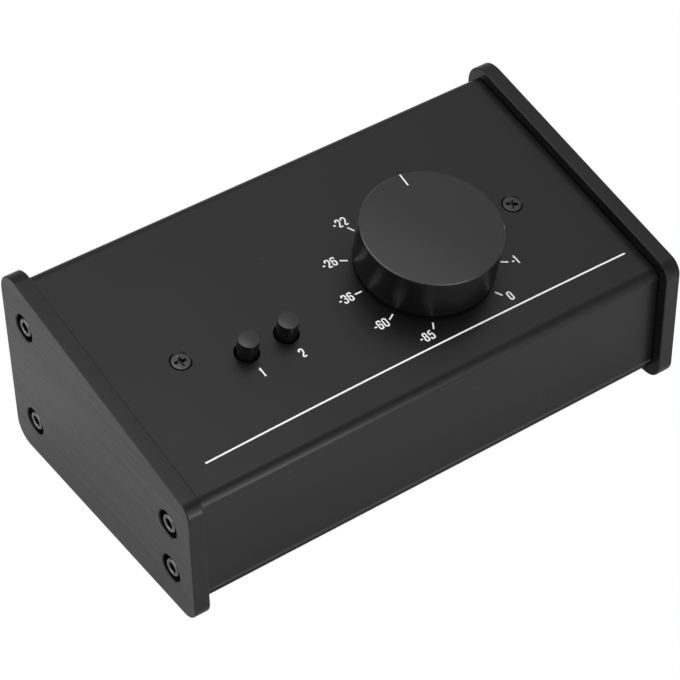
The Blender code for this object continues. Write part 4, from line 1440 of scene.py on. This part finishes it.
@dataclass
class Numerals:
    """Condensed numerals drawn with strokes of even width."""

    height: float = 3.1 * MM
    width: float = 1.55 * MM
    narrow_share: float = 0.6
    stroke: float = 0.46 * MM
    space: float = 0.3 * MM
    dash: float = 0.85 * MM
    corner_steps: int = 5

    def solid(self, label: str, ink: float) -> Solid:
        """A label's numerals, centred on local zero.

        Args:
            label: The figures, with a hyphen for a minus sign.
            ink: How thick they lie on the panel.

        Returns:
            The solid.
        """
        widths = [self._advance(figure) for figure in label]
        left = -(sum(widths) + self.space * (len(label) - 1)) / 2
        strokes = []
        for figure, width in zip(label, widths):
            for closed, radius, points in STROKES[figure]:
                inner = Vector((width - self.stroke, self.height - self.stroke))
                first = left + self.stroke / 2
                corners = [Vector((first + x * inner.x, (y - 0.5) * inner.y)) for x, y in points]
                path = self._path(corners, closed, radius * inner.x)
                strokes.append(self._stroke(path, closed, ink))
            left += width + self.space
        return strokes[0].add(strokes[1:])

    def _advance(self, figure: str) -> float:
        """How wide a figure is."""
        return {"-": self.dash, "1": self.width * self.narrow_share}.get(figure, self.width)

    def _path(self, corners: Sequence[Vector], closed: bool, radius: float) -> list[Vector]:
        """The middle line of a stroke with its corners rounded.

        Args:
            corners: The line's corners.
            closed: Whether the stroke is a loop.
            radius: How far from each corner its rounding starts.

        Returns:
            The line's points.
        """
        path = []
        for index, corner in enumerate(corners):
            if not closed and index in (0, len(corners) - 1):
                path.append(corner)
                continue
            before = corners[index - 1] - corner
            after = corners[(index + 1) % len(corners)] - corner
            reach = min(radius, before.length / 2, after.length / 2)
            start = corner + before.normalized() * reach
            end = corner + after.normalized() * reach
            path += rounded(start, corner, end, self.corner_steps)
        return path

    def _stroke(self, path: Sequence[Vector], closed: bool, ink: float) -> Solid:
        """A flat band of ink along a line.

        Args:
            path: The line's points.
            closed: Whether it is a loop.
            ink: How thick the band is.

        Returns:
            The solid.
        """
        bm = bmesh.new()
        count = len(path)
        sides = []
        for index, point in enumerate(path):
            before = path[index - 1] if closed or index else point
            after = path[(index + 1) % count] if closed or index < count - 1 else point
            along = (after - before).normalized()
            across = Vector((-along.y, along.x)) * (self.stroke / 2)
            sides.append([bm.verts.new((*(point + across * way), 0)) for way in (1, -1)])
        for (left, right), (far_left, far_right) in zip(sides, sides[1:] + sides[:1]):
            if closed or far_left is not sides[0][0]:
                bm.faces.new((left, right, far_right, far_left))
        return Solid(bm).raised((0, 0, ink))


LOOP, LINE = True, False
STROKES = {
    "-": [(LINE, 0.0, [(-0.45, 0.45), (1.45, 0.45)])],
    "0": [(LOOP, 0.6, [(0, 0), (1, 0), (1, 1), (0, 1)])],
    "1": [(LINE, 0.1, [(-0.1, 0.78), (0.65, 1.05), (0.65, -0.08)])],
    "2": [(LINE, 0.6, [(0, 0.72), (0, 1), (1, 1), (1, 0.55), (0.02, 0.0), (1.15, 0.0)])],
    "3": [
        (LINE, 0.6, [(0, 0.76), (0, 1), (1, 1), (1, 0.54), (0.35, 0.54)]),
        (LINE, 0.6, [(0.35, 0.54), (1, 0.54), (1, 0), (0, 0), (0, 0.24)]),
    ],
    "4": [(LINE, 0.05, [(0.68, -0.08), (0.68, 1.0), (0.0, 0.25), (1.2, 0.25)])],
    "5": [(LINE, 0.5, [(0.98, 1), (0.12, 1), (0.05, 0.52), (0.4, 0.62), (1, 0.6), (1, 0), (0, 0),
                       (0, 0.22)])],
    "6": [
        (LOOP, 0.6, [(0, 0), (1, 0), (1, 0.58), (0, 0.58)]),
        (LINE, 0.6, [(0, 0.3), (0, 1), (1, 1), (1, 0.78)]),
    ],
    "8": [
        (LOOP, 0.6, [(0, 0), (1, 0), (1, 0.54), (0, 0.54)]),
        (LOOP, 0.6, [(0.06, 0.54), (0.94, 0.54), (0.94, 1), (0.06, 1)]),
    ],
    "9": [
        (LOOP, 0.6, [(0, 0.42), (1, 0.42), (1, 1), (0, 1)]),
        (LINE, 0.6, [(1, 0.7), (1, 0), (0, 0), (0, 0.22)]),
    ],
}


@dataclass
class Print:
    """The white print of the sloped panel: ticks and plain numbers round the dial, and a rule."""

    panel: Panel
    numerals: Numerals = field(default_factory=Numerals)
    ink: float = 0.02 * MM
    lift: float = 0.01 * MM
    tick_inner: float = 21.55 * MM
    tick_outer: float = 23.8 * MM
    tick_width: float = 0.48 * MM
    tick_step: float = math.radians(30.0)
    first_tick: float = math.radians(-150.0)
    rule_width: float = 0.5 * MM
    rule_start: float = -90.15 * MM
    rule_end: float = 51.75 * MM
    rule_up: float = -25.45 * MM
    rule_crown: float = -6.5 * MM
    rule_bow: float = 0.91 * MM
    rule_reach: float = 83.6 * MM
    rule_steps: int = 48
    button_label_drop: float = 7.6 * MM

    def build(self, workshop: Workshop) -> None:
        """Prints the ticks, the numbers and the rule.

        Args:
            workshop: What turns solids into pieces.
        """
        half = self.tick_width / 2
        for index, (label, across, up) in enumerate(DIAL_LABELS):
            angle = self.first_tick + self.tick_step * index
            tick = Solid.block((-half, self.tick_inner, 0), (half, self.tick_outer, self.ink))
            tick.placed(self.panel.matrix(lift=self.lift) @ Matrix.Rotation(-angle, 4, "Z"))
            workshop.piece(f"tick_{index}", tick, Slot.WHITE_PRINT)
            place = self.panel.matrix(across * MM, up * MM, self.lift)
            number = self.numerals.solid(label, self.ink).placed(place)
            workshop.piece(f"number_{index}", number, Slot.WHITE_PRINT)
        rule = self._rule().placed(self.panel.matrix(lift=self.lift))
        workshop.piece("rule", rule, Slot.WHITE_PRINT)
        for side, label in zip(Side, ("1", "2")):
            place = self.panel.foot_of(f"{side.value}_button_cap")
            place = place @ Matrix.Translation((0, -self.button_label_drop, self.lift))
            mark = self.numerals.solid(label, self.ink).placed(place)
            workshop.piece(f"{side.value}_button_number", mark, Slot.WHITE_PRINT)

    def _rule(self) -> Solid:
        """The long rule, with the slight bow that its print has.

        Returns:
            The solid.
        """
        rule = Solid.block(
            (self.rule_start, -self.rule_width / 2, 0), (self.rule_end, self.rule_width / 2, self.ink)
        )
        long = [edge for edge in rule.bm.edges if edge.verts[0].co.x != edge.verts[1].co.x]
        bmesh.ops.subdivide_edges(rule.bm, edges=long, cuts=self.rule_steps, use_grid_fill=True)
        for vert in rule.bm.verts:
            share = (vert.co.x - self.rule_crown) / self.rule_reach
            vert.co.y += self.rule_up - self.rule_bow * share**2
        return rule


DIAL_LABELS = [
    ("-85", -15.05, -21.75),
    ("-60", -23.6, -12.1),
    ("-36", -26.85, 0.0),
    ("-26", -23.75, 12.5),
    ("-22", -12.85, 23.0),
    ("-18", 1.0, 25.6),
    ("-14", 14.0, 23.0),
    ("-9", 23.0, 12.5),
    ("-4", 26.3, 0.0),
    ("-1", 22.6, -12.25),
    ("0", 13.8, -21.8),
]


@dataclass(frozen=True)
class Lamp:
    """A soft area lamp that faces the object.

    The azimuth is counted from the rear towards the right.
    """

    name: str
    azimuth: float
    elevation: float
    size: tuple[float, float]
    power: float
    distance: float = 1.7

    def hang(self) -> None:
        """Hangs the lamp in its place."""
        data = bpy.data.lights.new(self.name, "AREA")
        data.shape = "RECTANGLE"
        data.size, data.size_y = self.size
        data.energy = self.power
        turn, lift = math.radians(self.azimuth), math.radians(self.elevation)
        flat, height = self.distance * math.cos(lift), self.distance * math.sin(lift)
        place = Vector((flat * math.sin(turn), flat * math.cos(turn), height))
        lamp = in_scene(self.name, data)
        lamp.location = place
        lamp.rotation_euler = (-place).to_track_quat("-Z", "Y").to_euler()


LAMPS = (
    Lamp("top", 0.0, 88.0, (1.0, 1.0), 7.7),
    Lamp("high_right", 60.0, 62.0, (1.0, 1.0), 1.4),
    Lamp("front", 178.0, 27.0, (1.1, 0.4), 3.3),
    Lamp("front_low", 175.0, 12.0, (1.1, 0.35), 2.4),
    Lamp("front_near", 166.6, 3.5, (0.1, 0.07), 0.27, 0.52),
    Lamp("front_desk", 180.0, 1.5, (0.06, 0.02), 0.035, 0.21),
    Lamp("left", -74.0, 27.0, (2.2, 1.4), 17.5),
)


@dataclass
class Studio:
    """The camera, the lamps, the pale floor and the white surroundings."""

    camera_place: Vector = field(default_factory=lambda: Vector((-319.3, -452.7, 519.0)) * MM)
    azimuth: float = math.radians(-34.986)
    elevation: float = math.radians(41.657)
    roll: float = math.radians(-0.961)
    lens: float = 139.3
    sensor: float = 36.0
    nearest: float = 0.05
    farthest: float = 20.0
    floor_size: float = 6.0
    floor_albedo: float = 0.85
    floor_roughness: float = 0.9
    background_share: float = 0.97
    mirrored_share: float = 0.09
    white: float = 1.02
    world_strength: float = 0.45

    def build(self) -> None:
        """Sets up the whole studio."""
        self._camera()
        self._floor()
        self._world()
        for lamp in LAMPS:
            lamp.hang()

    def _camera(self) -> None:
        """The camera at the photograph's angle."""
        data = bpy.data.cameras.new("camera")
        data.lens = self.lens
        data.sensor_width = self.sensor
        data.clip_start = self.nearest
        data.clip_end = self.farthest
        camera = in_scene("camera", data)
        tilt = Matrix.Rotation(RIGHT_ANGLE - self.elevation, 4, "X")
        turn = placing(self.camera_place, self.azimuth) @ tilt
        camera.matrix_world = turn @ Matrix.Rotation(self.roll, 4, "Z")
        bpy.context.scene.camera = camera

    def _floor(self) -> None:
        """A pale floor that the camera sees as the white background with the object's shadow."""
        bm = bmesh.new()
        bmesh.ops.create_grid(bm, x_segments=1, y_segments=1, size=self.floor_size / 2)
        floor = in_scene("floor", Solid(bm).mesh("floor"))
        material = bpy.data.materials.new("pale_floor")
        floor.data.materials.append(material)
        shader = Shader(material)
        pale = (self.floor_albedo,) * 3
        shader.set(base_color=(*pale, 1.0), roughness=self.floor_roughness)
        white = shader.node("ShaderNodeEmission", {}, {"Strength": self.white})
        seen = shader.seen(self.background_share, self.mirrored_share)
        inputs = {0: seen, 1: shader.surface.outputs[0], 2: white.outputs[0]}
        mixed = shader.node("ShaderNodeMixShader", {}, inputs)
        output = shader.tree.nodes["Material Output"]
        shader.feed(output.inputs["Surface"], mixed.outputs[0])

    def _world(self) -> None:
        """Even light from all round, seen by the camera as white."""
        world = bpy.data.worlds.new("studio")
        bpy.context.scene.world = world
        shader = Shader(world)
        seen = shader.seen(1.0, self.mirrored_share)
        lit = seen * (1 - self.world_strength) + self.world_strength
        background = shader.tree.nodes["Background"]
        shader.feed(background.inputs["Color"], (1.0, 1.0, 1.0, 1.0))
        shader.feed(background.inputs["Strength"], lit)


def main() -> None:
    """Builds the object and its studio."""
    logging.basicConfig(level=logging.INFO, format="%(name)s: %(message)s")
    bpy.context.scene.view_settings.view_transform = "Standard"
    panel = Panel()
    wedge = Wedge()
    finishes = Finishes(panel)
    finishes.dress_nodes()
    workshop = Workshop(finishes)
    EndPlates(wedge).build(workshop)
    CaseShell(wedge, panel).build(workshop)
    Underside().build(workshop)
    LevelKnob(panel).build(workshop)
    PushButtons(panel).build(workshop)
    RearJacks().build(workshop)
    Print(panel).build(workshop)
    Studio().build()


if __name__ == "__main__":
    main()
